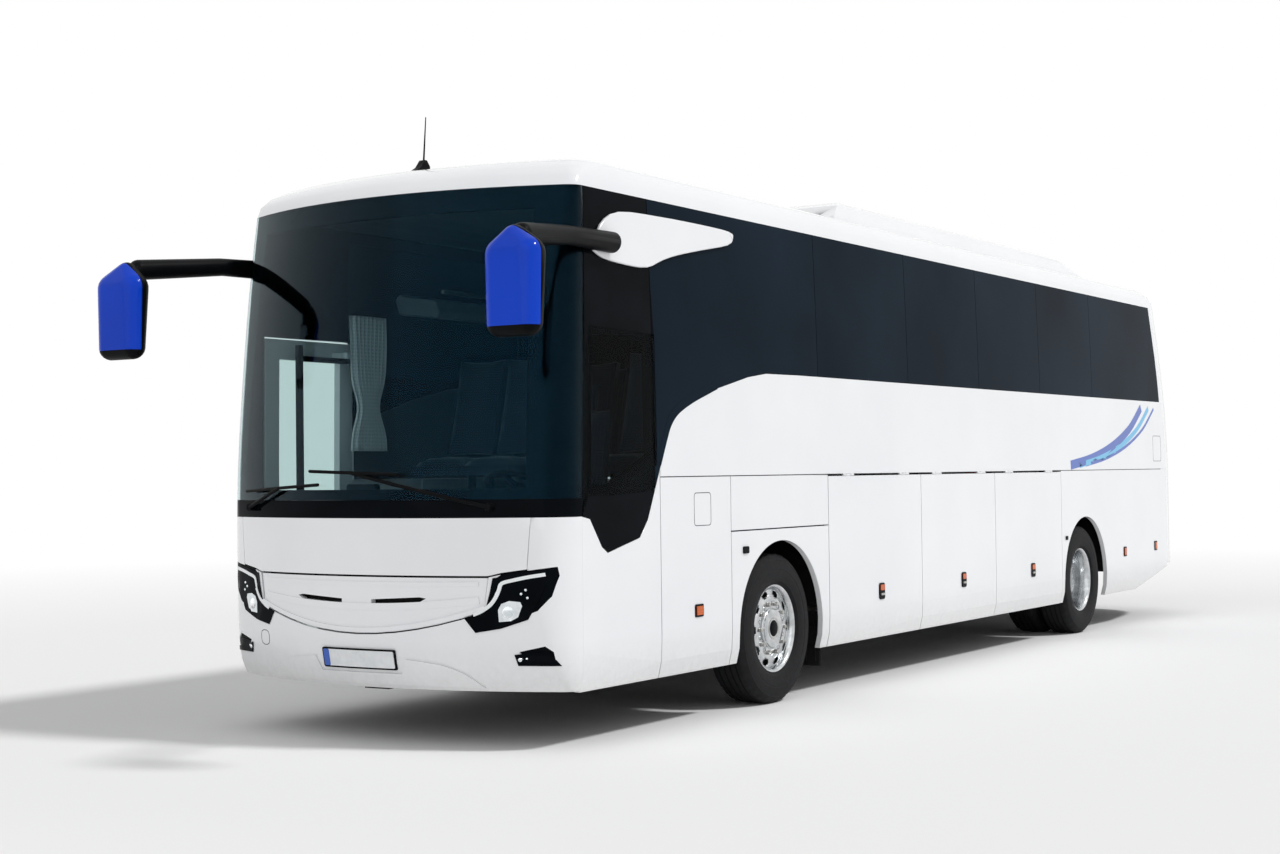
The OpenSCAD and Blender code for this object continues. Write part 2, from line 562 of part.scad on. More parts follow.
module rear_panels() color("white") {
    difference() {
        tail_low(0, tail_t);
        through_tail() polygon([for (p = LID_OUTLINE) p + [sign(p[0]) * panel_gap, p[1] < 1000 ? -panel_gap : 3 * panel_gap]]);
        both_sides() through_tail() polygon(TAIL_LAMP);
    }
    difference() {
        end_sheet(false, TAIL_HIGH, 0, tail_t);
        intersection() {
            end_sheet(false, TAIL_HIGH, -20, glass_t);
            through_tail() polygon(REAR_PANE);
        }
        through_tail() polygon([[-880, rear_glass_low_z + 70], [880, rear_glass_low_z + 70], [830, cantrail_z - 160], [-830, cantrail_z - 160]]);
    }
    lid_hinge_at() {
        cylinder(r = hinge_pin_r, h = 3 * hinge_len, center = true);
        for (s = [-1, 1]) translate([0, 0, s * hinge_len]) {
            cylinder(r = knuckle_r, h = hinge_len - 10, center = true);
            translate([0, -panel_gap - 30, -hinge_len / 2 + 5]) cube([30, panel_gap + 30, hinge_len - 10]);
        }
    }
}
module rear_glass() color("black", 0.7) intersection() {
    end_sheet(false, TAIL_HIGH, 0, glass_t - seat_gap);
    through_tail() polygon([for (p = REAR_PANE) p + [-sign(p[0]) * seat_gap, p[1] < 2500 ? seat_gap : -seat_gap]]);
}
module tail_lamps() color("darkred") both_sides() intersection() {
    tail_low(0, tail_t);
    through_tail() polygon([for (p = TAIL_LAMP) p + [p[0] < 1050 ? seat_gap : -seat_gap, p[1] < 1000 ? seat_gap : -seat_gap]]);
}
module engine_lid() color("white") {
    intersection() {
        tail_low(0, tail_t);
        through_tail() polygon(LID_OUTLINE);
    }
    lid_hinge_at() difference() {
        union() {
            cylinder(r = knuckle_r, h = hinge_len - 2, center = true);
            translate([0, 0, -hinge_len / 2 + 1]) cube([30, panel_gap + 30, hinge_len - 2]);
        }
        cylinder(r = hinge_pin_r + seat_gap, h = 2 * hinge_len, center = true);
    }
}

// Floors and underframe

step_z = 420;
pan_z = 340;
deck_z = floor_z - plate_t - seat_gap;
inner_w = half_w - wall_t - 60;
// Plates across the body stop short of the flaps and doors
low_w = half_w - panel_t - 60;
aisle_y = 330;
// A bulkhead that carries the lower panels on its edges
module bulkhead(x, z0) {
    heights = wall_heights(z0, deck_z);
    edge = [for (z = heights) [side_y(z) - panel_t - seat_gap, z]];
    n = len(edge);
    along_x(x, x + plate_t) polygon(concat(edge, [for (i = [0 : n - 1]) [-edge[n - 1 - i][0], edge[n - 1 - i][1]]]));
}
front_wall_x = arch_seam_front_x - panel_gap / 2 - plate_t;
hold_front_x = arch_seam_rear_x + panel_gap / 2;
hold_rear_x = bay_seam_3_x - panel_gap / 2 - plate_t;
tail_wall_x = rear_axle_x - 700;
cab_wall_x = door_rear_x - door_gap - 5 - plate_t;
module floor_deck() color("dimgray") {
    // Saloon floor, with a cut-out over the middle door's steps
    difference() {
        box([tail_split_x - 100, -inner_w, floor_z - plate_t], [cab_wall_x + plate_t, inner_w, floor_z]);
        box([mid_door_rear_x - 20, -inner_w - EPS, 0], [mid_door_front_x + 20, -620, 2000]);
    }
    // Driver's platform
    box([cab_wall_x + plate_t + seat_gap, -aisle_y + seat_gap, cockpit_z - plate_t], [front_split_x - 20, low_w, cockpit_z]);
    // Entrance steps, stacked
    for (k = [0 : 2]) box([cab_wall_x + plate_t + seat_gap, -low_w + 200 * k, k == 0 ? pan_z + plate_t + seat_gap : step_z + 220 * (k - 1) + seat_gap],
        [door_front_x - 20, -aisle_y, step_z + 220 * k]);
    // Steps of the middle door, stacked
    for (k = [0 : 2]) box([mid_door_rear_x, -low_w + 190 * k, k == 0 ? pan_z + plate_t + seat_gap : step_z + 270 * (k - 1) + seat_gap],
        [mid_door_front_x, -620, step_z + 270 * k]);
}
rail_y = 440;
rail_z = 860;
module underframe() color("dimgray") {
    bulkhead(cab_wall_x, pan_z);
    bulkhead(front_wall_x, pan_z);
    bulkhead(hold_front_x, pan_z);
    bulkhead(hold_rear_x, pan_z);
    bulkhead(tail_wall_x, 540);
    // Luggage floor
    box([hold_rear_x + plate_t + seat_gap, -low_w, pan_z], [hold_front_x - seat_gap, low_w, pan_z + plate_t]);
    // Pans ahead of the front wheels
    box([front_wall_x + plate_t + seat_gap, -low_w, pan_z], [cab_wall_x - seat_gap, low_w, pan_z + plate_t]);
    difference() {
        union() {
            box([cab_wall_x + plate_t + seat_gap, -low_w, pan_z], [front_split_x - 60, low_w, pan_z + plate_t]);
            // Towing jaw under the nose
            box([front_split_x - 160, -90, pan_z - 30], [nose_x - 190, 90, pan_z + plate_t]);
        }
        translate([tow_x, 0, 0]) cylinder(r = tow_r, h = 1000);
    }
    // Post under the front of the driver's platform
    both_sides() box([front_split_x - 160, 200, pan_z + plate_t + seat_gap], [front_split_x - 100, 300, cockpit_z - plate_t - seat_gap]);
    both_sides() {
        // Rails over the axles and beside the engine
        box([hold_front_x + plate_t + seat_gap, rail_y - 50, rail_z], [front_wall_x - seat_gap, rail_y + 50, deck_z]);
        box([tail_wall_x + plate_t + seat_gap, rail_y - 50, rail_z], [hold_rear_x - seat_gap, rail_y + 50, deck_z]);
        box([tail_split_x - 300, rail_y - 50, deck_z - 160], [tail_wall_x - seat_gap, rail_y + 50, deck_z]);
        // Jacking pads beside the wheels
        for (x = [front_wall_x + plate_t + 60, hold_rear_x + plate_t + 60])
            box([x, 880, pan_z - jack_h], [x + jack_w, 880 + jack_w, pan_z - seat_gap]);
    }
}
tow_x = nose_x - 240;
jack_h = 40;
jack_w = 140;
engine_half_w = rail_y;
module engine() color("gray") box([tail_x + 420, -engine_half_w, 540], [rear_axle_x - 1150, engine_half_w, deck_z - 160 - seat_gap]);

// Axles, knuckles and wheels

hub_r = 130;
fist_h = 150;
bellows_r = 130;
module front_axle() color("dimgray") {
    box([-60, -kingpin_y + 50, axle_z - 60], [60, kingpin_y - 50, axle_z + 60]);
    both_sides() {
        translate([0, kingpin_y, axle_z - fist_h / 2]) cylinder(r = 65, h = fist_h);
        translate([0, kingpin_y, axle_z - fist_h / 2 - 70]) cylinder(r = kingpin_r, h = fist_h + 140);
    }
}
module knuckle() color("dimgray") difference() {
    union() {
        for (z = [axle_z + fist_h / 2 + 5, axle_z - fist_h / 2 - 5 - 60]) translate([0, kingpin_y, z]) {
            cylinder(r = 50, h = 60);
            translate([-45, 0, 0]) cube([90, 100, 60]);
        }
        translate([-45, kingpin_y + 72, axle_z - fist_h / 2 - 65]) cube([90, 28, fist_h + 130]);
        translate([0, kingpin_y + 72, axle_z]) rotate([-90, 0, 0]) cylinder(r = spindle_r - 10, h = track_half + 70 - kingpin_y - 72);
    }
    translate([0, kingpin_y, 0]) cylinder(r = kingpin_r + seat_gap, h = 1000);
}
module rear_axle() color("dimgray") translate([rear_axle_x, 0, axle_z]) {
    rotate([-90, 0, 0]) cylinder(r = 95, h = 2 * (track_half - twin_pitch - tyre_w / 2 - 10), center = true);
    rotate([-90, 0, 0]) cylinder(r = spindle_r, h = 2 * (track_half - 40), center = true);
    translate([0, 0, -10]) sphere(r = 215);
}
module air_springs() color("black") both_sides() {
    // On the front beam, inboard of the steering sweep
    translate([0, rail_y, axle_z + 60 + seat_gap]) cylinder(r = 100, h = rail_z - axle_z - 60 - 2 * seat_gap);
    // On the rear axle tube, in a saddle
    translate([rear_axle_x, rail_y, 0]) difference() {
        translate([0, 0, axle_z]) cylinder(r = 100, h = rail_z - axle_z - seat_gap);
        translate([0, 0, axle_z]) rotate([90, 0, 0]) cylinder(r = 95 + seat_gap, h = 400, center = true);
        translate([0, -rail_y, axle_z - 10]) sphere(r = 215 + seat_gap);
    }
}
// Wheel sections are drawn as [radius, distance outwards from the wheel's centre plane]
rim_r = 292;
rim_half = 118;
well_r = 262;
RIM_PROFILE = [[rim_r, rim_half], [rim_r + 6, rim_half - 8], [rim_r - 8, rim_half - 22], [rim_r - 12, rim_half - 40], [well_r + 6, 20],
    [well_r + 6, -30], [rim_r - 12, -rim_half + 40], [rim_r - 8, -rim_half + 22], [rim_r + 6, -rim_half + 8], [rim_r, -rim_half],
    [rim_r - 14, -rim_half + 4], [rim_r - 26, -rim_half + 30], [well_r - 10, -36], [well_r - 10, 26], [rim_r - 26, rim_half - 30], [rim_r - 14, rim_half - 4]];
TYRE_PROFILE = [[rim_r - 8.5, rim_half - 26], [rim_r + 9, rim_half - 14], [rim_r + 22, tyre_w / 2 - 20], [rim_r + 50, tyre_w / 2 - 6],
    [rim_r + 95, tyre_w / 2], [tyre_r - 80, tyre_w / 2 - 3], [tyre_r - 32, tyre_w / 2 - 14], [tyre_r - 10, tyre_w / 2 - 32], [tyre_r, tyre_w / 2 - 62]];
module spun(profile) rotate([-90, 0, 0]) rotate_extrude($fn = 72) polygon(profile);
module tyre_solid() spun(concat(TYRE_PROFILE, [for (i = [0 : len(TYRE_PROFILE) - 1]) let (p = TYRE_PROFILE[len(TYRE_PROFILE) - 1 - i]) [p[0], -p[1]]]));
// Disc from the rim's well to the hub. face is the distance of its mounting face outwards.
disc_t = 26;
function disc_profile(face, bore) = face > 0
    ? [[well_r - 9, 24], [well_r - 9, -2], [210, face - disc_t], [bore, face - disc_t], [bore, face], [200, face], [222, face - 6]]
    : [[well_r - 9, -4], [212, face], [bore, face], [bore, face - disc_t], [218, face - disc_t], [well_r - 9, -32]];
module wheel_disc(face, bore) difference() {
    spun(disc_profile(face, bore));
    for (i = [0 : wheel_bolts - 1]) rotate([0, i * 360 / wheel_bolts, 0]) translate([232, -300, 0]) rotate([-90, 0, 0]) cylinder(r = 17, h = 600, $fn = 24);
}
bolt_circle_r = 167.5;
module wheel_nuts(face) for (i = [0 : wheel_bolts - 1]) rotate([0, (i + 0.5) * 360 / wheel_bolts, 0])
    translate([bolt_circle_r, face - 5, 0]) rotate([-90, 0, 0]) cylinder(r = 17, h = 38, $fn = 6);
FRONT_FACE = 62;
REAR_FACE = disc_t - twin_pitch / 2;
module front_rim() color("silver") translate([0, track_half, axle_z]) {
    spun(RIM_PROFILE);
    wheel_disc(FRONT_FACE, spindle_r - 10 + seat_gap);
    wheel_nuts(FRONT_FACE);
    // Hub drum round the spindle, with its cap
    rotate([-90, 0, 0]) difference() {
        translate([0, 0, 20]) cylinder(r = hub_r, h = FRONT_FACE + 30);
        translate([0, 0, 0]) cylinder(r = spindle_r - 10 + seat_gap, h = 70 + seat_gap);
    }
}
module front_tyre() color("black") translate([0, track_half, axle_z]) tyre_solid();
module rear_wheel() {
    spun(RIM_PROFILE);
    wheel_disc(REAR_FACE, spindle_r + 20);
}
module rear_rims() color("silver") translate([rear_axle_x, track_half, axle_z]) {
    rear_wheel();
    wheel_nuts(REAR_FACE);
    translate([0, -twin_pitch, 0]) mirror([0, 1, 0]) rear_wheel();
    // Hub through both discs, closed by its cap
    rotate([-90, 0, 0]) difference() {
        translate([0, 0, -twin_pitch + 60]) cylinder(r = hub_r, h = twin_pitch - 40);
        translate([0, 0, -twin_pitch]) cylinder(r = spindle_r + seat_gap, h = twin_pitch - 39.7);
    }
}
module rear_tyres() color("black") translate([rear_axle_x, track_half, axle_z]) for (k = [0, 1]) translate([0, -k * twin_pitch, 0]) tyre_solid();

// Roof equipment, mirrors, wipers and markers

pod_front_x = -1700;
pod_rear_x = -7330;
pod_half_w = 850;
module ac_unit() color("white") difference() {
    intersection() {
        along_x(pod_rear_x - 100, pod_front_x + 100) polygon([[-pod_half_w, roof_h - 120], [pod_half_w, roof_h - 120], [pod_half_w, roof_h - 10],
            [pod_half_w - 50, roof_h + pod_h - 60], [pod_half_w - 130, roof_h + pod_h - 15], [pod_half_w - 260, roof_h + pod_h],
            [-pod_half_w + 260, roof_h + pod_h], [-pod_half_w + 130, roof_h + pod_h - 15], [-pod_half_w + 50, roof_h + pod_h - 60], [-pod_half_w, roof_h - 10]]);
        translate([0, body_w / 2, 0]) rotate([90, 0, 0]) linear_extrude(body_w) polygon([[pod_front_x, roof_h - 120], [pod_front_x, roof_h - 20],
            [pod_front_x - 170, roof_h + pod_h - 60], [pod_front_x - 330, roof_h + pod_h - 15], [pod_front_x - 620, roof_h + pod_h],
            [pod_rear_x + 1100, roof_h + pod_h], [pod_rear_x + 640, roof_h + pod_h - 30], [pod_rear_x, roof_h - 20], [pod_rear_x, roof_h - 120]]);
    }
    translate([0, 0, seat_gap]) along_x(pod_rear_x - 200, pod_front_x + 200) roof_profile(0);
}
aerial_x = nose_x - 640;
aerial_foot_z = roof_h - 84.2;
module antenna() color("black") translate([aerial_x, 0, aerial_foot_z]) {
    rotate([90, 0, 0]) translate([0, 0, -22]) linear_extrude(44) polygon([[60, 3], [-70, 22], [-70, 40], [-40, 75], [-20, 75], [20, 26]]);
    translate([-34, 0, 60]) rotate([0, -5, 0]) cylinder(r1 = 6, r2 = 3, h = aerial_h - 60, $fn = 24);
}
head_x = nose_x + mirror_reach - 130;
head_y = half_w + 185;
head_low_z = 2270;
head_top_z = 2860;
arm_root_x = nose_x - 800;
arm_z = 2880;
module mirror_head_shape() hull() {
    translate([20, -95, head_low_z + 75]) sphere(r = 75, $fn = 24);
    translate([20, 85, head_low_z + 75]) sphere(r = 75, $fn = 24);
    translate([10, -85, head_top_z - 160]) sphere(r = 95, $fn = 24);
    translate([10, 75, head_top_z - 160]) sphere(r = 95, $fn = 24);
    translate([-10, -20, head_top_z - 70]) sphere(r = 70, $fn = 24);
}
module mirror_arms() color("black") both_sides() {
    translate([head_x, head_y, 0]) intersection() {
        mirror_head_shape();
        box([-400, -400, 0], [20 - seat_gap, 400, 4000]);
    }
    difference() {
        hull() {
            translate([arm_root_x, half_w + 10, arm_z + 10]) rotate([0, 90, 0]) cylinder(r = 62, h = 20, $fn = 24);
            translate([arm_root_x + 500, half_w + 50, arm_z]) rotate([0, 90, 0]) cylinder(r = 55, h = 20, $fn = 24);
        }
        wall_layer(fairing_low_z, fairing_top_z, -fairing_t - seat_gap, 200);
    }
    hull() {
        translate([arm_root_x + 500, half_w + 50, arm_z]) rotate([0, 90, 0]) cylinder(r = 55, h = 20, $fn = 24);
        translate([head_x - 90, head_y - 30, arm_z - 60]) sphere(r = 62, $fn = 24);
    }
    hull() {
        translate([head_x - 90, head_y - 30, arm_z - 60]) sphere(r = 62, $fn = 24);
        translate([head_x - 40, head_y - 10, head_top_z - 140]) sphere(r = 60, $fn = 24);
    }
}
module mirror_caps() color("blue") both_sides() translate([head_x, head_y, 0]) intersection() {
    mirror_head_shape();
    box([20, -400, 0], [400, 400, 4000]);
}
// Leaf-shaped fairing on the side, which the mirror's arm is bolted to
FAIRING = [[2235, 2815], [2190, 2930], [2100, 3040], [1950, 3085], [1687, 3100], [1000, 3105], [640, 3095], [589, 3060], [640, 3010], [1300, 2885],
    [1487, 2845], [1560, 2790], [1661, 2775], [1900, 2780], [2100, 2795]];
fairing_t = 22;
fairing_low_z = min([for (p = FAIRING) p[1]]);
fairing_top_z = max([for (p = FAIRING) p[1]]);
module mirror_fairings() color("white") both_sides() wall_piece(FAIRING, -fairing_t, -seat_gap);
// Each wiper: its pivot, then the blade's two ends, as [y, z], standing off the glass
WIPERS = [[[880, 1372], [330, 1560], [-330, 1585]], [[-940, 1372], [-260, 1505], [-980, 1470]]];
wiper_off = 34;
WIPER_STEPS = 3;
function glass_x(y, z) = nose_x - inset(NOSE, z) - NOSE_BOW + sqrt(NOSE_BOW^2 - y^2);
function on_glass(p) = [glass_x(p[0], p[1]) + wiper_off, p[0], p[1]];
module bar(a, b, r) hull() { translate(a) sphere(r = r, $fn = 12); translate(b) sphere(r = r, $fn = 12); }
module bowed_bar(a, b, r) for (i = [0 : WIPER_STEPS - 1])
    bar(on_glass(a + (b - a) * i / WIPER_STEPS), on_glass(a + (b - a) * (i + 1) / WIPER_STEPS), r);
module wipers() color("black") for (w = WIPERS) {
    bowed_bar(w[0], (w[1] + w[2]) / 2, 11);
    bowed_bar(w[1], w[2], 10);
    difference() {
        translate(on_glass(w[0]) - [wiper_off + 20, 0, 0]) rotate([0, 90, 0]) cylinder(r = 22, h = wiper_off + 30);
        end_sheet(true, SCUTTLE_HEIGHTS, -seat_gap, nose_t);
    }
}
// Amber lamps with flush handles, as [x, z, width, height]
MARKERS = [[1111, 696, 75, 55], [-1552, 652, 90, 120], [-3079, 658, 90, 120], [-4668, 669, 90, 120], [rear_axle_x - 1140, 716, 60, 70], [rear_axle_x - 2138, 737, 60, 70]];
marker_t = 10;
module side_markers() color("orange") for (m = MARKERS) {
    piece = rect(m[0] - m[2] / 2, m[0] + m[2] / 2, m[1] - m[3] / 2, m[1] + m[3] / 2);
    if (m[0] > arch_seam_rear_x || m[0] < bay_seam_3_x) both_sides() wall_piece(piece, -marker_t, -seat_gap);
}

// Cockpit and seats

dash_left_y = low_w - 150;
dash_right_y = -aisle_y - 230;
DASH_PROFILE = [[front_split_x - 140, cockpit_z + seat_gap], [nose_x, cockpit_z + seat_gap], [nose_x, 1330], [front_split_x + 60, 1345], [front_split_x - 80, 1310], [front_split_x - 120, 1200]];
module dashboard() color("black") intersection() {
    translate([0, dash_left_y, 0]) rotate([90, 0, 0]) linear_extrude(dash_left_y - dash_right_y) polygon(DASH_PROFILE);
    translate([nose_x - NOSE_BOW, 0, 0]) cylinder(r = NOSE_BOW - 170, h = 3000, $fn = 200);
}
wheel_at = [front_split_x - 300, 640, 1460];
wheel_tilt = 28;
column_len = 360;
module steering_wheel() color("black") difference() {
    translate(wheel_at) rotate([0, -wheel_tilt, 0]) {
        rotate_extrude() translate([215, 0]) circle(r = 17, $fn = 24);
        for (a = [0, 120, 240]) rotate([0, 0, a]) translate([0, -18, -8]) cube([212, 36, 16]);
        cylinder(r = 62, h = 40, center = true);
        translate([0, 0, -column_len]) cylinder(r = 28, h = column_len);
    }
    // The column ends at the dashboard's face
    translate([-seat_gap, 0, 0]) box([front_split_x - 140, 400, 800], [nose_x, 900, 1200]);
}
seat_tilt = 10;
module driver_seat() color("darkslategray") translate([cab_seam_x + 150, 640, cockpit_z + seat_gap]) {
    box([-60, -170, 0], [300, 170, 250]);
    box([-140, -250, 250 + seat_gap], [370, 250, 400]);
    translate([-30, 0, 400 + seat_gap + 110 * sin(seat_tilt)]) rotate([0, -seat_tilt, 0]) {
        box([-110, -250, 0], [0, 250, 640]);
        box([-95, -140, 640 + seat_gap], [-15, 140, 800]);
    }
}
// Double seats: the aisle side, then the window side, of each row
seat_y = 300;
back_t = 100;
back_tilt = 14;
seat_half_w = 425;
first_row_x = 700;
function row_x(i) = first_row_x - i * seat_pitch;
function seat_here(i, side) = side > 0 || row_x(i) > mid_door_front_x + 400 || row_x(i) < mid_door_rear_x - 100;
module seat_bases() color("darkslategray") for (i = [0 : seat_rows - 1]) for (s = [-1, 1]) if (seat_here(i, s))
    translate([row_x(i), s * (seat_y + seat_half_w), floor_z + seat_gap]) {
        box([-190, -150, 0], [120, 150, 300]);
        box([-230, -seat_half_w, 300], [230, seat_half_w, 430]);
    }
module seat_backs() color("darkslategray") for (i = [0 : seat_rows - 1]) for (s = [-1, 1]) if (seat_here(i, s))
    translate([row_x(i) - 130, s * (seat_y + seat_half_w), floor_z + 430 + 2 * seat_gap + back_t * sin(back_tilt)]) rotate([0, -back_tilt, 0])
        for (k = [-1, 1]) translate([0, k * seat_half_w / 2, 0]) box([-back_t, -seat_half_w / 2 + 12, 0], [0, seat_half_w / 2 - 12, 700]);

module on_right() mirror([0, 1, 0]) children();
placed() roof();
placed() roof_caps();
placed() windscreen();
placed() windscreen_surround();
placed() front_flap();
placed() grille_panel();
placed() bumper();
placed() front_lamps();
placed() side_panels();
placed() window_frames();
placed() side_glass();
placed() lower_panels();
placed() flap(LEFT_FLAPS[0][1], LEFT_FLAPS[0][0]);  // left_flap_1
placed() flap(LEFT_FLAPS[1][1], LEFT_FLAPS[1][0]);  // left_flap_2
placed() flap(LEFT_FLAPS[2][1], LEFT_FLAPS[2][0]);  // left_flap_3
placed() on_right() flap(RIGHT_FLAPS[0][1], RIGHT_FLAPS[0][0]);  // right_flap_1
placed() on_right() flap(RIGHT_FLAPS[1][1], RIGHT_FLAPS[1][0]);  // right_flap_2
placed() front_door();
placed() front_door_glass();
placed() front_door_arm();
placed() mid_door();
placed() mid_door_arm();
placed() rear_panels();
placed() rear_glass();
placed() tail_lamps();
placed() engine_lid();
placed() floor_deck();
placed() underframe();
placed() engine();
placed() front_axle();
placed() knuckle();  // knuckle_left
placed() on_right() knuckle();  // knuckle_right
placed() rear_axle();
placed() air_springs();
placed() front_rim();  // rim_front_left
placed() on_right() front_rim();  // rim_front_right
placed() front_tyre();  // tyre_front_left
placed() on_right() front_tyre();  // tyre_front_right
placed() rear_rims();  // rims_rear_left
placed() on_right() rear_rims();  // rims_rear_right
placed() rear_tyres();  // tyres_rear_left
placed() on_right() rear_tyres();  // tyres_rear_right
placed() ac_unit();
placed() antenna();
placed() mirror_arms();
placed() mirror_caps();
placed() mirror_fairings();
placed() wipers();
placed() side_markers();
placed() dashboard();
placed() steering_wheel();
placed() driver_seat();
placed() seat_bases();
placed() seat_backs();
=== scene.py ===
import json
import math

import bmesh
import bpy
from mathutils import Matrix, Vector
from mathutils.bvhtree import BVHTree


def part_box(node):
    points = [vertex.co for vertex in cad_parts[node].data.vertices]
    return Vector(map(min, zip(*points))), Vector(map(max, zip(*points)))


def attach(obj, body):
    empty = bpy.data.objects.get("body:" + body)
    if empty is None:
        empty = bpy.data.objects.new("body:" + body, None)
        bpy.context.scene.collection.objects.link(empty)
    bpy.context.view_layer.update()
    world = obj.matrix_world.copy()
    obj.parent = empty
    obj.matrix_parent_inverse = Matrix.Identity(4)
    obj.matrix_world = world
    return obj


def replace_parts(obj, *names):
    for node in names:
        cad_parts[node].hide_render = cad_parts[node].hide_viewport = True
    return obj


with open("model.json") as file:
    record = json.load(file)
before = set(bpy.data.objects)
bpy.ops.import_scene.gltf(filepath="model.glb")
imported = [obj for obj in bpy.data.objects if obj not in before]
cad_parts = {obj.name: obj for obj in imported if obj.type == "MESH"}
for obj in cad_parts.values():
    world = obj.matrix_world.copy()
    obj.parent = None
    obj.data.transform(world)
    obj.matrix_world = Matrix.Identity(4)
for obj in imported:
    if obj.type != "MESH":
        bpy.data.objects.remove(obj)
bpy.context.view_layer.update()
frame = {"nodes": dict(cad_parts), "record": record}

# Places are in metres in the coach's frame: +X forward, +Y to the left, +Z up, the road at zero.
# Lengths ahead of the front axle are turned to that frame by ahead().
FRONT_AXLE = sum(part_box("tyre_front_left"), Vector()) / 2
REAR_AXLE = sum(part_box("tyres_rear_left"), Vector()) / 2
LEFT, RIGHT = 1, -1


def ahead(length):
    """The x of a place this far ahead of the front axle."""
    return FRONT_AXLE.x + length


# Materials

def srgb(colour):
    """A hex colour as linear red, green, blue and alpha."""
    parts = [int(colour[i:i + 2], 16) / 255 for i in (1, 3, 5)]
    return tuple(p / 12.92 if p < 0.04045 else ((p + 0.055) / 1.055) ** 2.4 for p in parts) + (1.0,)


def add(tree, kind, settings, links):
    """One node with its settings, and the outputs that feed its inputs."""
    made = tree.nodes.new(kind)
    for name, value in settings.items():
        if isinstance(name, int) or name in made.inputs:
            made.inputs[name].default_value = value
        else:
            setattr(made, name, value)
    for name, source in links.items():
        tree.links.new(source, made.inputs[name])
    return made


MATERIALS = {}


def finish(name, base, roughness, **sockets):
    """A new material with a plain shader. Returns its tree, its shader and its Object coordinates."""
    made = bpy.data.materials.new(name)
    made.use_nodes = True
    MATERIALS[name] = made
    tree = made.node_tree
    shader = tree.nodes["Principled BSDF"]
    shader.inputs["Base Color"].default_value = srgb(base)
    shader.inputs["Roughness"].default_value = roughness
    for socket, value in sockets.items():
        shader.inputs[socket.replace("_", " ")].default_value = value
    coords = add(tree, "ShaderNodeTexCoord", {}, {}).outputs["Object"]
    return tree, shader, coords


def per_metre(millimetres):
    """The scale of a pattern whose features are this many millimetres apart."""
    return 1000 / millimetres


# The span that a noise texture really fills
NOISE_LOW, NOISE_HIGH = 0.3, 0.7
# A wave texture's bands lie this much closer than its scale says
WAVE_TURN = 6.3
# Road dust on enamel: the heights where it is thickest and gone, and its share there
DUST_LOW, DUST_HIGH, DUST_SHARE = 0.30, 0.62, 0.55


def mottle(tree, shader, coords, low, high, grain_mm, detail=3):
    """Colour that drifts between two tones over a noise of one grain."""
    noise = add(tree, "ShaderNodeTexNoise", {"Scale": per_metre(grain_mm), "Detail": detail},
                {"Vector": coords})
    ramp = add(tree, "ShaderNodeValToRGB", {}, {"Fac": noise.outputs["Fac"]})
    for stop, place, tone in zip(ramp.color_ramp.elements, (NOISE_LOW, NOISE_HIGH), (low, high)):
        stop.position = place
        stop.color = srgb(tone)
    tree.links.new(ramp.outputs["Color"], shader.inputs["Base Color"])
    return ramp.outputs["Color"]


def mottled(name, base, roughness, low, high, grain_mm, detail=3, **sockets):
    """A new finish whose colour drifts between two tones."""
    tree, shader, coords = finish(name, base, roughness, **sockets)
    mottle(tree, shader, coords, low, high, grain_mm, detail)
    return tree, shader, coords


def relief(tree, shader, height, depth_mm, strength):
    """A bump of one depth from a height output."""
    bump = add(tree, "ShaderNodeBump", {"Distance": depth_mm / 1000, "Strength": strength},
               {"Height": height})
    tree.links.new(bump.outputs["Normal"], shader.inputs["Normal"])


def uneven_gloss(tree, shader, noise, low, high):
    """Roughness that wanders between two values with a noise output."""
    span = add(tree, "ShaderNodeMapRange",
               {"From Min": NOISE_LOW, "From Max": NOISE_HIGH, "To Min": low, "To Max": high},
               {"Value": noise})
    tree.links.new(span.outputs["Result"], shader.inputs["Roughness"])


def sprayed_enamel(name, base, cloud, film, gloss):
    """Two-pack enamel sprayed on panels: a deep gloss with a faint orange peel, drawn coarser than
    the real 2 mm so that it shows, and a thin film of road dust low on the sides."""
    cloud_mm, speck_mm, peel_mm = 900, 45, 14
    tree, shader, coords = finish(name, base, 0.16, Specular_IOR_Level=gloss * 0.8, Coat_Weight=gloss,
                                  Coat_Roughness=0.03)
    tone = mottle(tree, shader, coords, cloud, base, cloud_mm)
    split = add(tree, "ShaderNodeSeparateXYZ", {}, {"Vector": coords})
    low = add(tree, "ShaderNodeMapRange",
              {"From Min": DUST_LOW, "From Max": DUST_HIGH, "To Min": DUST_SHARE, "To Max": 0.0},
              {"Value": split.outputs["Z"]})
    specks = add(tree, "ShaderNodeTexNoise", {"Scale": per_metre(speck_mm), "Detail": 6, "Roughness": 0.7},
                 {"Vector": coords})
    dust = add(tree, "ShaderNodeMath", {"operation": "MULTIPLY"},
               {0: low.outputs["Result"], 1: specks.outputs["Fac"]})
    blend = add(tree, "ShaderNodeMix", {"data_type": "RGBA", 7: srgb(film)},
                {0: dust.outputs["Value"], 6: tone})
    tree.links.new(blend.outputs[2], shader.inputs["Base Color"])
    peel = add(tree, "ShaderNodeTexNoise", {"Scale": per_metre(peel_mm), "Detail": 1}, {"Vector": coords})
    relief(tree, shader, peel.outputs["Fac"], 0.25, 0.25)


def moulded_plastic(name, base, lighter, grain_mm, depth_mm, roughness, gloss):
    """Injection-moulded plastic: an even colour with the fine leather grain of its mould."""
    tree, shader, coords = mottled(name, base, roughness, base, lighter, 220, Specular_IOR_Level=gloss)
    cells = add(tree, "ShaderNodeTexVoronoi", {"Scale": per_metre(grain_mm)}, {"Vector": coords})
    relief(tree, shader, cells.outputs["Distance"], depth_mm, 0.5)


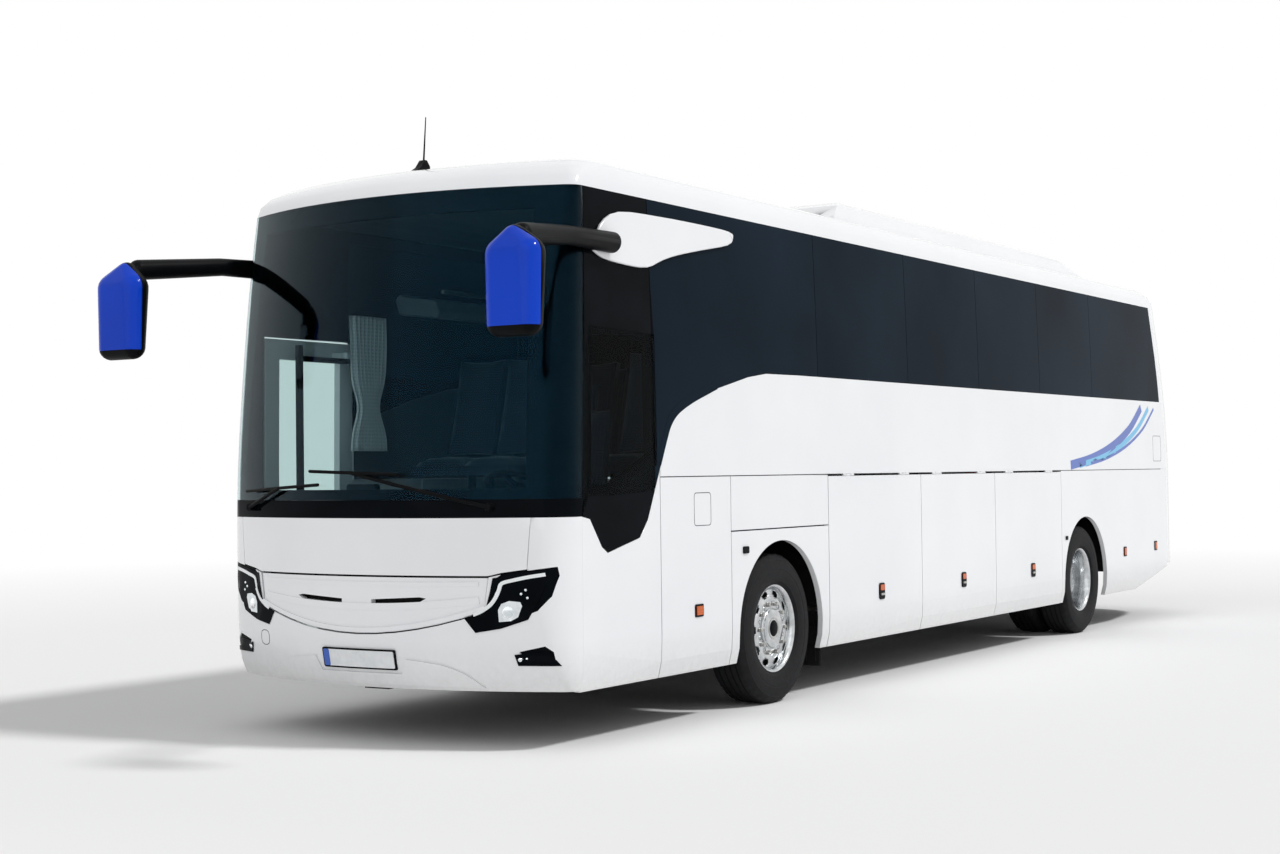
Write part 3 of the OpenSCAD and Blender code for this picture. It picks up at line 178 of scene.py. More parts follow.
def clear_glass(name, tint, through, index, sheen=(1, 1, 1, 1)):
    """Float glass that lets lamp light pass, so that what lies behind it is lit as in daylight."""
    # sheen tints the reflections: on the windscreen it is a painted reflection of a blue sky
    tree, shader, coords = finish(name, tint, 0.0, Transmission_Weight=1.0, IOR=index, Specular_Tint=sheen)
    wave = add(tree, "ShaderNodeTexNoise", {"Scale": per_metre(700), "Detail": 0}, {"Vector": coords})
    relief(tree, shader, wave.outputs["Fac"], 0.6, 0.1)
    light = add(tree, "ShaderNodeLightPath", {}, {})
    clear = add(tree, "ShaderNodeBsdfTransparent", {"Color": srgb(through)}, {})
    mix = add(tree, "ShaderNodeMixShader", {}, {0: light.outputs["Is Shadow Ray"], 1: shader.outputs["BSDF"],
                                                2: clear.outputs["BSDF"]})
    tree.links.new(mix.outputs["Shader"], tree.nodes["Material Output"].inputs["Surface"])


def turned_alloy(name, centre):
    """Forged aluminium, turned and polished: fine rings about the hub that pull the highlights out."""
    tree, shader, coords = finish(name, "#c9ccce", 0.2, Metallic=1.0)
    middle = add(tree, "ShaderNodeMapping", {"vector_type": "POINT", "Location": (-centre.x, 0, -centre.z)},
                 {"Vector": coords})
    split = add(tree, "ShaderNodeSeparateXYZ", {}, {"Vector": middle.outputs["Vector"]})
    flat = add(tree, "ShaderNodeCombineXYZ", {}, {"X": split.outputs["X"], "Z": split.outputs["Z"]})
    radius = add(tree, "ShaderNodeVectorMath", {"operation": "LENGTH"}, {0: flat.outputs["Vector"]})
    rings = add(tree, "ShaderNodeTexNoise", {"noise_dimensions": "1D", "Scale": per_metre(3), "Detail": 2},
                {"W": radius.outputs["Value"]})
    uneven_gloss(tree, shader, rings.outputs["Fac"], 0.12, 0.3)
    relief(tree, shader, rings.outputs["Fac"], 0.1, 0.3)
    mottle(tree, shader, coords, "#b4b7ba", "#d4d6d7", 60)


def lens_acrylic(name, base, ribs_mm):
    """Coloured acrylic with moulded ribs, bright where the ribs catch the light."""
    tree, shader, coords = finish(name, base, 0.12, Specular_IOR_Level=0.25, Coat_Weight=0.3,
                                  Coat_Roughness=0.02)
    ribs = add(tree, "ShaderNodeTexWave", {"Scale": per_metre(ribs_mm) / WAVE_TURN, "bands_direction": "Z"},
               {"Vector": coords})
    relief(tree, shader, ribs.outputs["Fac"], 2.0, 0.6)


def woven_cloth(name, dark, light, thread_mm, sheen):
    """Woven cloth: crossing threads in two tones, soft and dull with a little sheen."""
    tree, shader, coords = finish(name, dark, 0.92, Sheen_Weight=sheen, Sheen_Roughness=0.5)
    scale = per_metre(thread_mm) / WAVE_TURN
    warp, weft = (add(tree, "ShaderNodeTexWave", {"Scale": scale, "bands_direction": way},
                      {"Vector": coords}).outputs["Fac"] for way in ("Y", "Z"))
    cross = add(tree, "ShaderNodeMath", {"operation": "MULTIPLY"}, {0: warp, 1: weft})
    mix = add(tree, "ShaderNodeMix", {"data_type": "RGBA", 6: srgb(dark), 7: srgb(light)},
              {0: cross.outputs["Value"]})
    tree.links.new(mix.outputs[2], shader.inputs["Base Color"])
    relief(tree, shader, cross.outputs["Value"], 1.0, 0.6)


def make_materials():
    sprayed_enamel("white_enamel", "#eff0f2", "#e9ebee", "#b4b0a8", 0.6)
    sprayed_enamel("blue_enamel", "#0240c8", "#023ab8", "#0240c8", 0.12)
    # Black enamel behind the edge of glass and on pillars: a deep smooth black
    mottled("black_glass_enamel", "#06080b", 0.05, "#05070a", "#0b0f14", 300, Specular_IOR_Level=0.02)
    # Privacy glass, body-tinted: a dark navy in which the sky shows faintly. It lets no light through, so the
    # navy is the glass's tint together with painted shade of the saloon behind it
    tree, shader, coords = mottled("tinted_glass", "#141f2a", 0.02, "#101a24", "#1a2733", 1600,
                                   Specular_IOR_Level=0.012)
    wave = add(tree, "ShaderNodeTexNoise", {"Scale": per_metre(900), "Detail": 0}, {"Vector": coords})
    relief(tree, shader, wave.outputs["Fac"], 1.2, 0.2)
    # The windscreen's reflections are tinted blue: a painted reflection of a blue sky.
    clear_glass("windscreen_glass", "#c4d8da", "#7d9293", 1.19, (0.15, 0.60, 1.0, 1.0))
    clear_glass("cab_side_glass", "#93a5a8", "#6f8284", 1.07)
    clear_glass("door_glass", "#e6f0ec", "#d5e2dc", 1.15)
    clear_glass("lamp_cover", "#f4f7f8", "#eef2f4", 1.45)
    # Vulcanised rubber: dull grey-black, browner where it has weathered
    tree, shader, coords = mottled("tyre_rubber", "#131416", 0.72, "#101113", "#1a1a1c", 30, 6,
                                   Specular_IOR_Level=0.2)
    grit = add(tree, "ShaderNodeTexNoise", {"Scale": per_metre(4), "Detail": 3}, {"Vector": coords})
    relief(tree, shader, grit.outputs["Fac"], 0.5, 0.4)
    turned_alloy("front_wheel_alloy", FRONT_AXLE)
    turned_alloy("rear_wheel_alloy", REAR_AXLE)
    # Zinc-plated steel nuts: bright with a slight yellow cast
    mottled("plated_steel", "#b9b8b4", 0.28, "#a3a29d", "#c6c5c1", 12, Metallic=1.0)
    # Chassis paint brushed on steel: satin black with dust
    tree, shader, coords = mottled("chassis_paint", "#121314", 0.6, "#0e0e0f", "#1c1b1a", 70, 6,
                                   Specular_IOR_Level=0.2)
    wear = add(tree, "ShaderNodeTexNoise", {"Scale": per_metre(90), "Detail": 4}, {"Vector": coords})
    uneven_gloss(tree, shader, wear.outputs["Fac"], 0.45, 0.8)
    # Cast iron, bare: rough and brown-grey
    mottled("cast_iron", "#3a3836", 0.75, "#2c2a28", "#45423e", 25, 5, Metallic=0.4)
    moulded_plastic("black_grained_plastic", "#07080a", "#0b0c0e", 3, 0.3, 0.4, 0.05)
    moulded_plastic("dash_plastic", "#0d0f12", "#14171b", 4, 0.4, 0.62, 0.2)
    # Natural rubber bellows: dull black
    moulded_plastic("bellows_rubber", "#0d0d0d", "#161616", 6, 0.4, 0.85, 0.2)
    lens_acrylic("amber_acrylic", "#c85804", 9)
    lens_acrylic("red_acrylic", "#8e0d12", 12)
    lens_acrylic("white_light_guide", "#f2f5f7", 400)
    # Vacuum-metallised plastic: a clear bright mirror
    mottled("metallised_reflector", "#dfe3e6", 0.08, "#d0d6da", "#e8ecee", 40, Metallic=1.0)
    # Silvered mirror glass: a sharp cool mirror
    mottled("silvered_glass", "#c8d0d4", 0.02, "#c3ccd1", "#ced5d8", 200, Metallic=1.0)
    # Safety vinyl: grey with quartz specks
    mottled("speckled_vinyl", "#4a4c50", 0.7, "#3b3d41", "#606267", 5, 2)
    # Needled lining felt on the inner walls: soft dark grey
    mottled("lining_felt", "#3f4248", 0.95, "#383b40", "#484b51", 8, 5, Sheen_Weight=0.2)
    # Pale moulded trim of the luggage racks
    moulded_plastic("trim_plastic", "#6d7176", "#787c81", 5, 0.3, 0.6, 0.3)
    woven_cloth("moquette", "#1c2230", "#39435c", 9, 0.3)
    woven_cloth("curtain_cloth", "#c9ccd0", "#e3e5e8", 12, 0.2)
    # Retro-reflective sheet, blank: white with a fine honeycomb, drawn coarse so that it shows
    tree, shader, coords = mottled("reflective_sheet", "#dfe2e4", 0.35, "#d8dbde", "#e4e7e9", 50,
                                   Coat_Weight=0.5)
    cells = add(tree, "ShaderNodeTexVoronoi", {"Scale": per_metre(8), "feature": "DISTANCE_TO_EDGE"},
                {"Vector": coords})
    relief(tree, shader, cells.outputs["Distance"], 0.3, 0.3)
    # Cast vinyl film: flat colour with a soft gloss
    mottled("sky_blue_film", "#58b9e6", 0.3, "#53b2e0", "#58b9e6", 500, Coat_Weight=0.3)
    mottled("royal_blue_film", "#1f55b8", 0.3, "#1c4fae", "#1f55b8", 500, Coat_Weight=0.3)


make_materials()


# Meshes

MERGE = 0.00005


def coat(faces, material):
    """Gives faces one of their piece's materials, by its number."""
    for face in faces:
        face.material_index = material


def mesh_from(name, work):
    """A plain mesh from a working mesh, which is used up."""
    mesh = bpy.data.meshes.new(name)
    work.to_mesh(mesh)
    work.free()
    return mesh


def linked(name, data):
    """A new object in the scene."""
    obj = bpy.data.objects.new(name, data)
    bpy.context.scene.collection.objects.link(obj)
    return obj


def piece(name, work, materials, body, smooth=35):
    """A finished object at the origin from a working mesh, riding on a body. Large flat faces keep
    their own direction, so that thin triangles beside them don't show as streaks."""
    mesh = mesh_from(name, work)
    for m in materials:
        mesh.materials.append(MATERIALS[m])
    mesh.shade_smooth()
    mesh.set_sharp_from_angle(angle=math.radians(smooth))
    obj = linked(name, mesh)
    even = obj.modifiers.new("even_shading", "WEIGHTED_NORMAL")
    even.keep_sharp = True
    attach(obj, body)
    return obj


def merged(*nodes):
    """A working mesh of some CAD nodes with their loose triangles joined."""
    work = bmesh.new()
    for node in nodes:
        work.from_mesh(frame["nodes"][node].data)
    for layer in list(work.loops.layers.uv):
        work.loops.layers.uv.remove(layer)
    bmesh.ops.remove_doubles(work, verts=work.verts, dist=MERGE)
    coat(work.faces, 0)
    return work


def sliced(work, place, normal):
    """Cuts a working mesh along a plane and keeps both sides."""
    everything = work.verts[:] + work.edges[:] + work.faces[:]
    bmesh.ops.bisect_plane(work, geom=everything, plane_co=place, plane_no=normal)


def rounded_edges(obj, width, angle=50):
    """A bevel on the sharp edges, before the other modifiers."""
    bevel = obj.modifiers.new("rounded_edges", "BEVEL")
    bevel.width = width
    bevel.segments = 2
    bevel.limit_method = "ANGLE"
    bevel.angle_limit = math.radians(angle)
    obj.modifiers.move(obj.modifiers.find(bevel.name), 0)


# Rays beside the wanted one, and how much deeper a ray goes where it falls into a gap
NEARBY = [(0, 0), (0.012, 0), (-0.012, 0), (0, 0.012), (0, -0.012)]
GAP_DEPTH = 0.04
# Rays start this far out, clear of the whole coach
RAY_START = 20.0


class Skin:
    """One side of the coach. A point on it is given by two coordinates and found from outside."""

    def __init__(self, nodes, axis, sign):
        work = merged(*nodes)
        self.tree = BVHTree.FromBMesh(work)
        work.free()
        self.axis = axis
        self.outward = Vector((0, 0, 0))
        self.outward[axis] = sign

    def over(self, u, v):
        place = [u, v]
        place.insert(self.axis, 0.0)
        return Vector(place)

    def at(self, u, v, lift=0.0):
        """The point over (u, v), at a lift along the way out. A narrow gap between panels is bridged.
        The way that the skin faces there is kept as normal."""
        found = []
        for du, dv in NEARBY:
            start = self.over(u + du, v + dv) + self.outward * RAY_START
            hit, normal = self.tree.ray_cast(start, -self.outward)[:2]
            found.append((hit.dot(self.outward) if hit else -RAY_START, normal))
        depth, self.normal = found[0]
        outermost = max(found, key=lambda hit: hit[0])
        if outermost[0] - depth > GAP_DEPTH:
            depth, self.normal = outermost
        return self.over(u, v) + self.outward * (depth + lift)


FLAPS = {LEFT: ["left_flap_1", "left_flap_2", "left_flap_3"], RIGHT: ["right_flap_1", "right_flap_2"]}
DOORS = ["front_door", "mid_door"]
NOSE_NODES = ["bumper", "grille_panel", "front_lamps", "front_flap", "windscreen", "windscreen_surround"]
NOSE = Skin(NOSE_NODES, 0, 1)
SIDE_NODES = ["side_panels", "lower_panels", "side_glass", "window_frames"]
SIDES = {LEFT: Skin(SIDE_NODES + FLAPS[LEFT], 1, 1),
         RIGHT: Skin(SIDE_NODES + FLAPS[RIGHT] + DOORS, 1, -1)}
TAIL = Skin(["rear_panels", "rear_glass", "tail_lamps", "engine_lid"], 0, -1)
ROOF = Skin(["roof", "roof_caps", "ac_unit"], 2, 1)
MIRROR_BACK = Skin(["mirror_arms", "mirror_caps"], 0, -1)


def seated_plate(work, skin, outline, lift, thickness, step=0.06, material=0):
    """A closed plate over an outline, bent to follow the skin, its outer face at one lift."""
    flat = bmesh.new()
    flat.faces.new([flat.verts.new((u, v, 0)) for u, v in outline])
    for k in (0, 1):
        low = min(p[k] for p in outline)
        high = max(p[k] for p in outline)
        normal = Vector((1 - k, k, 0))
        for i in range(1, math.ceil((high - low) / step)):
            sliced(flat, normal * (low + i * step), normal)
    bmesh.ops.triangulate(flat, faces=flat.faces)
    flat.verts.index_update()
    outer = [work.verts.new(skin.at(v.co.x, v.co.y, lift)) for v in flat.verts]
    inner = [work.verts.new(o.co - skin.outward * thickness) for o in outer]
    made = []
    for face in flat.faces:
        ids = [v.index for v in face.verts]
        made.append(work.faces.new([outer[i] for i in ids]))
        made.append(work.faces.new([inner[i] for i in reversed(ids)]))
    for edge in flat.edges:
        if edge.is_boundary:
            a, b = (v.index for v in edge.verts)
            made.append(work.faces.new([outer[a], outer[b], inner[b], inner[a]]))
    coat(made, material)
    bmesh.ops.recalc_face_normals(work, faces=made)
    flat.free()


def strip_outline(path, width):
    """The outline of a band of one width along a path of points in a plane."""
    left, right = [], []
    for i, p in enumerate(path):
        a = Vector(path[max(i - 1, 0)])
        b = Vector(path[min(i + 1, len(path) - 1)])
        along = (b - a).normalized()
        side = Vector((-along.y, along.x)) * width / 2
        left.append(tuple(Vector(p) + side))
        right.append(tuple(Vector(p) - side))
    return left + right[::-1]


def lathe(work, profile, centre, steps, axis=Vector((0, 1, 0)), material=0, swell=None):
    """A body of revolution. Profile points are (radius, distance along the axis), and swell moves a
    radius."""
    turn = axis.to_track_quat("Z", "X").to_matrix()
    rings = []
    for i in range(steps):
        a = 2 * math.pi * i / steps
        ring = []
        for k, (r, d) in enumerate(profile):
            r += swell(k, i) if swell else 0
            ring.append(work.verts.new(centre + turn @ Vector((r * math.cos(a), r * math.sin(a), d))))
        rings.append(ring)
    made = []
    for i in range(steps):
        a, b = rings[i], rings[(i + 1) % steps]
        for k in range(len(profile) - 1):
            made.append(work.faces.new([a[k], b[k], b[k + 1], a[k + 1]]))
    coat(made, material)
    bmesh.ops.remove_doubles(work, verts=[v for ring in rings for v in ring], dist=MERGE)
    return made


def loft(work, rings, material=0):
    """Closed rings of points joined one to the next, with both ends closed."""
    rings = [[work.verts.new(p) for p in ring] for ring in rings]
    made = [work.faces.new(rings[0][::-1]), work.faces.new(rings[-1])]
    for a, b in zip(rings, rings[1:]):
        for k in range(len(a)):
            n = (k + 1) % len(a)
            made.append(work.faces.new([a[k], a[n], b[n], b[k]]))
    coat(made, material)
    bmesh.ops.recalc_face_normals(work, faces=made)


def tube(work, path, radius, sides=8, material=0):
    """A round bar with closed ends along a path of points."""
    rings = []
    for i, p in enumerate(path):
        along = (path[min(i + 1, len(path) - 1)] - path[max(i - 1, 0)]).normalized()
        turn = along.to_track_quat("Z", "Y").to_matrix()
        rings.append([p + turn @ Vector((radius * math.cos(a), radius * math.sin(a), 0))
                      for a in (2 * math.pi * k / sides for k in range(sides))])
    loft(work, rings, material)


def block(work, low, high, material=0):
    """A box between two corners."""
    made = bmesh.ops.create_cube(work, size=1.0)["verts"]
    size = Vector(high) - Vector(low)
    middle = (Vector(high) + Vector(low)) / 2
    for v in made:
        v.co = Vector(v.co[k] * size[k] for k in range(3)) + middle
    coat({f for v in made for f in v.link_faces}, material)


def rounded(low, high, radius, steps=4):
    """The outline of a rectangle with round corners."""
    corners = [(high[0] - radius, low[1] + radius, -90), (high[0] - radius, high[1] - radius, 0),
               (low[0] + radius, high[1] - radius, 90), (low[0] + radius, low[1] + radius, 180)]
    turns = [math.radians(90 * k / steps) for k in range(steps + 1)]
    return [(u + radius * math.cos(math.radians(a) + t), v + radius * math.sin(math.radians(a) + t))
            for u, v, a in corners for t in turns]


def solids(node):
    """The separate solids of a CAD node, each as a list of its points."""
    work = merged(node)
    left = set(work.verts)
    found = []
    while left:
        group, edge = set(), [left.pop()]
        while edge:
            v = edge.pop()
            group.add(v)
            for e in v.link_edges:
                o = e.other_vert(v)
                if o in left:
                    left.discard(o)
                    edge.append(o)
        found.append([v.co.copy() for v in group])
    work.free()
    return found


def corners(points):
    """The lowest and highest corner of some points."""
    return Vector(map(min, *points)), Vector(map(max, *points))


# Patterns of Geometry Nodes, which set a unit mesh on points

def pattern(name, sockets, place):
    """A tree of nodes with named inputs. place adds the nodes that make its points."""
    tree = bpy.data.node_groups.new(name, "GeometryNodeTree")
    sockets = {"Unit": "Geometry", **sockets, "Material": "Material"}
    for socket, kind in sockets.items():
        tree.interface.new_socket(socket, in_out="INPUT", socket_type=f"NodeSocket{kind}")
    tree.interface.new_socket("Geometry", in_out="OUTPUT", socket_type="NodeSocketGeometry")
    inputs = add(tree, "NodeGroupInput", {}, {}).outputs
    units = add(tree, "GeometryNodeInstanceOnPoints", {},
                {"Points": place(tree, inputs), "Instance": inputs["Unit"]})
    real = add(tree, "GeometryNodeRealizeInstances", {}, {"Geometry": units.outputs["Instances"]})
    dressed = add(tree, "GeometryNodeSetMaterial", {},
                  {"Geometry": real.outputs["Geometry"], "Material": inputs["Material"]})
    add(tree, "NodeGroupOutput", {}, {"Geometry": dressed.outputs["Geometry"]})
    return tree


def on_line(tree, inputs):
    """Points along a straight line."""
    line = add(tree, "GeometryNodeMeshLine", {"mode": "OFFSET"},
               {"Count": inputs["Count"], "Offset": inputs["Step"]})
    return line.outputs["Mesh"]


def on_circle(tree, inputs):
    """Points on a circle that stands upright, facing sideways."""
    ring = add(tree, "GeometryNodeMeshCircle", {}, {"Vertices": inputs["Count"], "Radius": inputs["Radius"]})
    stood = add(tree, "GeometryNodeTransform", {"Rotation": (math.pi / 2, 0, 0)},
                {"Geometry": ring.outputs["Mesh"], "Translation": inputs["Centre"]})
    return stood.outputs["Geometry"]


ROW = pattern("row_on_a_line", {"Count": "Int", "Step": "Vector"}, on_line)
RING = pattern("ring_on_a_circle", {"Count": "Int", "Radius": "Float", "Centre": "Vector"}, on_circle)


def repeated(name, unit, tree, settings, material, body):
    """The unit mesh repeated by a tree of nodes, kept as one plain mesh on a body."""
    unit_name = f"{name}_unit"
    host = linked(unit_name, mesh_from(unit_name, unit))
    nodes = host.modifiers.new("pattern", "NODES")
    nodes.node_group = tree
    settings = {**settings, "Material": MATERIALS[material]}
    for item in tree.interface.items_tree:
        if item.in_out == "INPUT" and item.name in settings:
            nodes[item.identifier] = settings[item.name]
    done = bpy.data.meshes.new_from_object(host.evaluated_get(bpy.context.evaluated_depsgraph_get()))
    bpy.data.objects.remove(host)
    work = bmesh.new()
    work.from_mesh(done)
    return piece(name, work, [material], body)


# CAD nodes, each as a merged and smooth copy with its finish

ALL_FLAPS = FLAPS[LEFT] + FLAPS[RIGHT]
WHITE = ["roof", "roof_caps", "front_flap", "grille_panel", "bumper", "side_panels", "lower_panels",
         "rear_panels", "ac_unit", *ALL_FLAPS, *DOORS, "engine_lid"]
CHASSIS = ["underframe", "front_axle", "rear_axle", "knuckle_left", "knuckle_right", "front_door_arm",
           "mid_door_arm"]
FINISHES = [(WHITE, "white_enamel", "white_paint"),
            (CHASSIS, "chassis_paint", "chassis_black"),
            (["engine"], "cast_iron", "chassis_black"),
            (["windscreen"], "windscreen_glass", "clear_glass"),
            (["front_door_glass"], "door_glass", "clear_glass"),
            (["side_glass", "rear_glass"], "tinted_glass", "tinted_glass"),
            (["windscreen_surround", "window_frames"], "black_glass_enamel", "black_plastic"),
            (["mirror_arms", "wipers", "antenna", "steering_wheel"], "black_grained_plastic",
             "black_plastic"),
            (["dashboard"], "dash_plastic", "black_plastic"),
            (["air_springs"], "bellows_rubber", "bellows_rubber"),
            (["mirror_caps"], "blue_enamel", "blue_paint"),
            (["front_lamps"], "black_glass_enamel", "lamp_glass"),
            (["tail_lamps"], "red_acrylic", "red_lens"),
            (["side_markers"], "amber_acrylic", "amber_lens"),
            (["floor_deck"], "speckled_vinyl", "floor_covering"),
            (["rim_front_left", "rim_front_right"], "front_wheel_alloy", "alloy"),
            (["rims_rear_left", "rims_rear_right"], "rear_wheel_alloy", "alloy")]
BODY_OF = {node: body for body, nodes in frame["record"]["behaviour"]["bodies"].items() for node in nodes}
LINED = ["roof", "roof_caps", "side_panels", "rear_panels"]
ROUNDED = ["side_panels", "lower_panels", *ALL_FLAPS, *DOORS]
PANEL_ROUND, CAP_ROUND, CAP_ROUND_ANGLE = 0.003, 0.022, 25
CAP_RIM_LOW, CAP_RIM_SIDE, CAP_RIM_SLANT = 0.055, 0.030, -0.35
# A face of the shell looks inside where it turns this much towards the saloon's middle
SALOON_Z, TURNED_IN = 2.2, 0.35
CAB_END, CAB_PANE_LOW, CAB_PANE_HIGH = 1.59, 1.44, 2.39
CAB_GLASSES = ["tinted_glass", "cab_side_glass", "black_glass_enamel"]


def faces_inside(face):
    """True for a face of the body shell that looks into the saloon."""
    middle = face.calc_center_median()
    inward = Vector((0, -middle.y, SALOON_Z - middle.z))
    return face.normal.dot(inward) > TURNED_IN * inward.length


def cab_glass(face):
    """Which of the glasses a face of the side glass has: beside the driver it is clear, in black enamel."""
    middle = face.calc_center_median()
    if middle.x < ahead(CAB_END):
        return 0
    return 1 if middle.y > 0 and CAB_PANE_LOW < middle.z < CAB_PANE_HIGH else 2


def rim_mirror_caps(work):
    """Cuts a lower and an outer rim off the caps and gives them the second material."""
    low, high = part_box("mirror_caps")
    rims = [(Vector((0, 0, low.z + CAP_RIM_LOW)), Vector((0, 0, -1)))]
    for side in (LEFT, RIGHT):
        outward = Vector((CAP_RIM_SLANT, side, 0)).normalized()
        rims.append((Vector((0, side * (high.y - CAP_RIM_SIDE), 0)), outward))
    for place, outward in rims:
        sliced(work, place, outward)
    for face in work.faces:
        middle = face.calc_center_median()
        for place, outward in rims:
            near_it = outward.y == 0 or outward.y * middle.y > 0
            if near_it and (middle - place).dot(outward) > 0:
                face.material_index = 1


def dress_nodes():
    """Every rigid node in its finish, the ones with two or more finishes split by face."""
    for nodes, material, slot in FINISHES:
        for node in nodes:
            work = merged(node)
            materials = [material]
            if node in LINED:
                materials.append("lining_felt")
                for face in work.faces:
                    face.material_index = int(faces_inside(face))
            if node == "side_glass":
                materials = CAB_GLASSES
                for face in work.faces:
                    face.material_index = cab_glass(face)
            if node == "mirror_caps":
                materials.append("black_grained_plastic")
                rim_mirror_caps(work)
            obj = piece(f"{node}_finish", work, materials, BODY_OF[node])
            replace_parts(obj, node)
            if node in ROUNDED:
                rounded_edges(obj, PANEL_ROUND)
            if node == "mirror_caps":
                rounded_edges(obj, CAP_ROUND, CAP_ROUND_ANGLE)


dress_nodes()


# Lamps and trim on the nose. Outlines and paths are for the left half, as (y, z).

LIGHT_GUIDE = [(1.163, 0.993), (1.081, 0.980), (1.002, 0.963), (0.934, 0.944), (0.917, 0.907), (0.899, 0.863),
               (0.866, 0.820), (0.815, 0.786), (0.770, 0.767)]
REFLECTOR = [(0.910, 0.795), (0.928, 0.829), (0.972, 0.846), (1.031, 0.840), (1.041, 0.818), (1.018, 0.756),
             (0.980, 0.734), (0.913, 0.728)]
HOUSING = [(0.884, 0.973), (1.020, 0.998), (1.173, 1.020), (1.160, 0.930), (1.131, 0.851), (1.067, 0.740),
           (0.920, 0.690), (0.779, 0.666), (0.716, 0.748), (0.795, 0.772), (0.846, 0.818), (0.868, 0.896)]
FOG_RECESS = [(0.988, 0.544), (1.080, 0.556), (1.170, 0.560), (1.220, 0.481), (1.003, 0.482)]
LAMP_PROUD, LAMP_STEP, GUIDE_WIDTH = 0.006, 0.025, 0.020
LAMP_MATERIALS = ["white_light_guide", "metallised_reflector", "lamp_cover", "black_glass_enamel"]
# Round lenses of the projector, the position lamps and the fog lamps, as
# (places, radius, height, extra lift, material)
LENSES = [([(0.962, 0.783)], 0.034, 0.012, 0.002, 2),
          ([(1.059, 0.907), (1.035, 0.885), (1.068, 0.863)], 0.009, 0.006, 0.0, 1),
          ([(1.016, 0.516), (1.046, 0.516)], 0.013, 0.006, 0.0, 1)]
GRILLE_HALF = 0.86
# Strips across the nose, as (share of the grille's half width, height in the middle, rise at the ends,
# width, lift, thickness). The rim and two blades of the grille stand proud, and dark rubber strips lie
# behind its upper seam and its air slots: painted shade seen through them.
GRILLE_STRIPS = [(0.975, 0.667, 0.14, 0.026, 0.008, 0.012), (0.93, 0.934, 0.006, 0.024, 0.006, 0.010),
                 (0.93, 0.802, 0.045, 0.040, 0.006, 0.010)]
SEAM_SHADE_STRIPS = [(0.95, 0.979, 0.0, 0.06, -0.050, 0.006), (0.88, 0.876, 0.0, 0.10, -0.050, 0.006)]
CHIN = [(0.30, 0.420), (0.34, 0.505), (0.45, 0.494), (0.58, 0.474), (0.70, 0.425), (0.79, 0.350)]
PLATE_HALF, PLATE_LOW, PLATE_HIGH = 0.272, 0.440, 0.558
PLATE_EDGE, PLATE_BAND, PLATE_STEP = 0.010, 0.045, 0.2
TOW_COVER = ((-0.880, 0.540), (-0.790, 0.628))


def on_half(points, side):
    """Points of the left half, turned to one side."""
    return [(side * y, z) for y, z in points]


def smoothed(points, steps=4):
    """More points along a path, on a curve through the given ones."""
    path = [Vector(p) for p in points]
    path = [2 * path[0] - path[1], *path, 2 * path[-1] - path[-2]]
    found = []
    for a, b, c, d in zip(path, path[1:], path[2:], path[3:]):
        for t in (k / steps for k in range(steps)):
            found.append(tuple((2 * b + (c - a) * t + (2 * a - 5 * b + 4 * c - d) * t ** 2
                                + (3 * b - a - 3 * c + d) * t ** 3) / 2))
    return found + [tuple(path[-2])]


def dome(work, skin, at, radius, height, material=0, lift=0.0):
    """A small round lens that stands on a skin and faces as the skin does there."""
    foot = skin.at(*at, lift)
    root = -0.01
    profile = [(0, height), (radius * 0.5, height * 0.86), (radius * 0.85, height * 0.5), (radius, 0),
               (radius, root), (0, root)]
    lathe(work, profile, foot, 24, skin.normal, material)


def headlamps():
    """Black housings with a light guide, a reflector and round lenses, and the fog lamps below."""
    work = bmesh.new()
    for side in (LEFT, RIGHT):
        guide = strip_outline(smoothed(on_half(LIGHT_GUIDE, side)), GUIDE_WIDTH)
        plates = [(on_half(HOUSING, side), 0.0, 0.008, 3), (on_half(FOG_RECESS, side), 0.0, 0.008, 3),
                  (guide, 0.004, 0.008, 0), (on_half(REFLECTOR, side), 0.003, 0.006, 1)]
        for outline, lift, thickness, material in plates:
            seated_plate(work, NOSE, outline, LAMP_PROUD + lift, thickness, LAMP_STEP, material)
        for places, radius, height, lift, material in LENSES:
            for place in on_half(places, side):
                dome(work, NOSE, place, radius, height, material, LAMP_PROUD + lift)
    piece("lamp_optics", work, LAMP_MATERIALS, "coach")


def nose_strips(strips):
    """A working mesh of strips that follow the nose across the grille."""
    work = bmesh.new()
    shares = [k / 12 for k in range(-12, 13)]
    for reach, z, rise, width, lift, thickness in strips:
        path = [(y * reach * GRILLE_HALF, z + rise * y * y) for y in shares]
        seated_plate(work, NOSE, strip_outline(path, width), lift, thickness)
    return work


def grille_trim():
    """A raised rim under the crescent and two blades across it, above and below the air slots."""
    trim = piece("grille_trim", nose_strips(GRILLE_STRIPS), ["white_enamel"], "coach")
    rounded_edges(trim, 0.003)
    # Dark rubber strips behind the upper seam and the air slots: painted shade seen through them.
    piece("seam_shade_strips", nose_strips(SEAM_SHADE_STRIPS), ["bellows_rubber"], "coach")


def chin():
    """The lower lip of the bumper, which stands proud on both sides of the plate."""
    work = bmesh.new()
    outline = CHIN[:1] + smoothed(CHIN[1:])
    seated_plate(work, NOSE, on_half(outline, RIGHT)[::-1] + outline, 0.010, 0.014, 0.05)
    rounded_edges(piece("bumper_lip", work, ["white_enamel"], "coach"), 0.005)


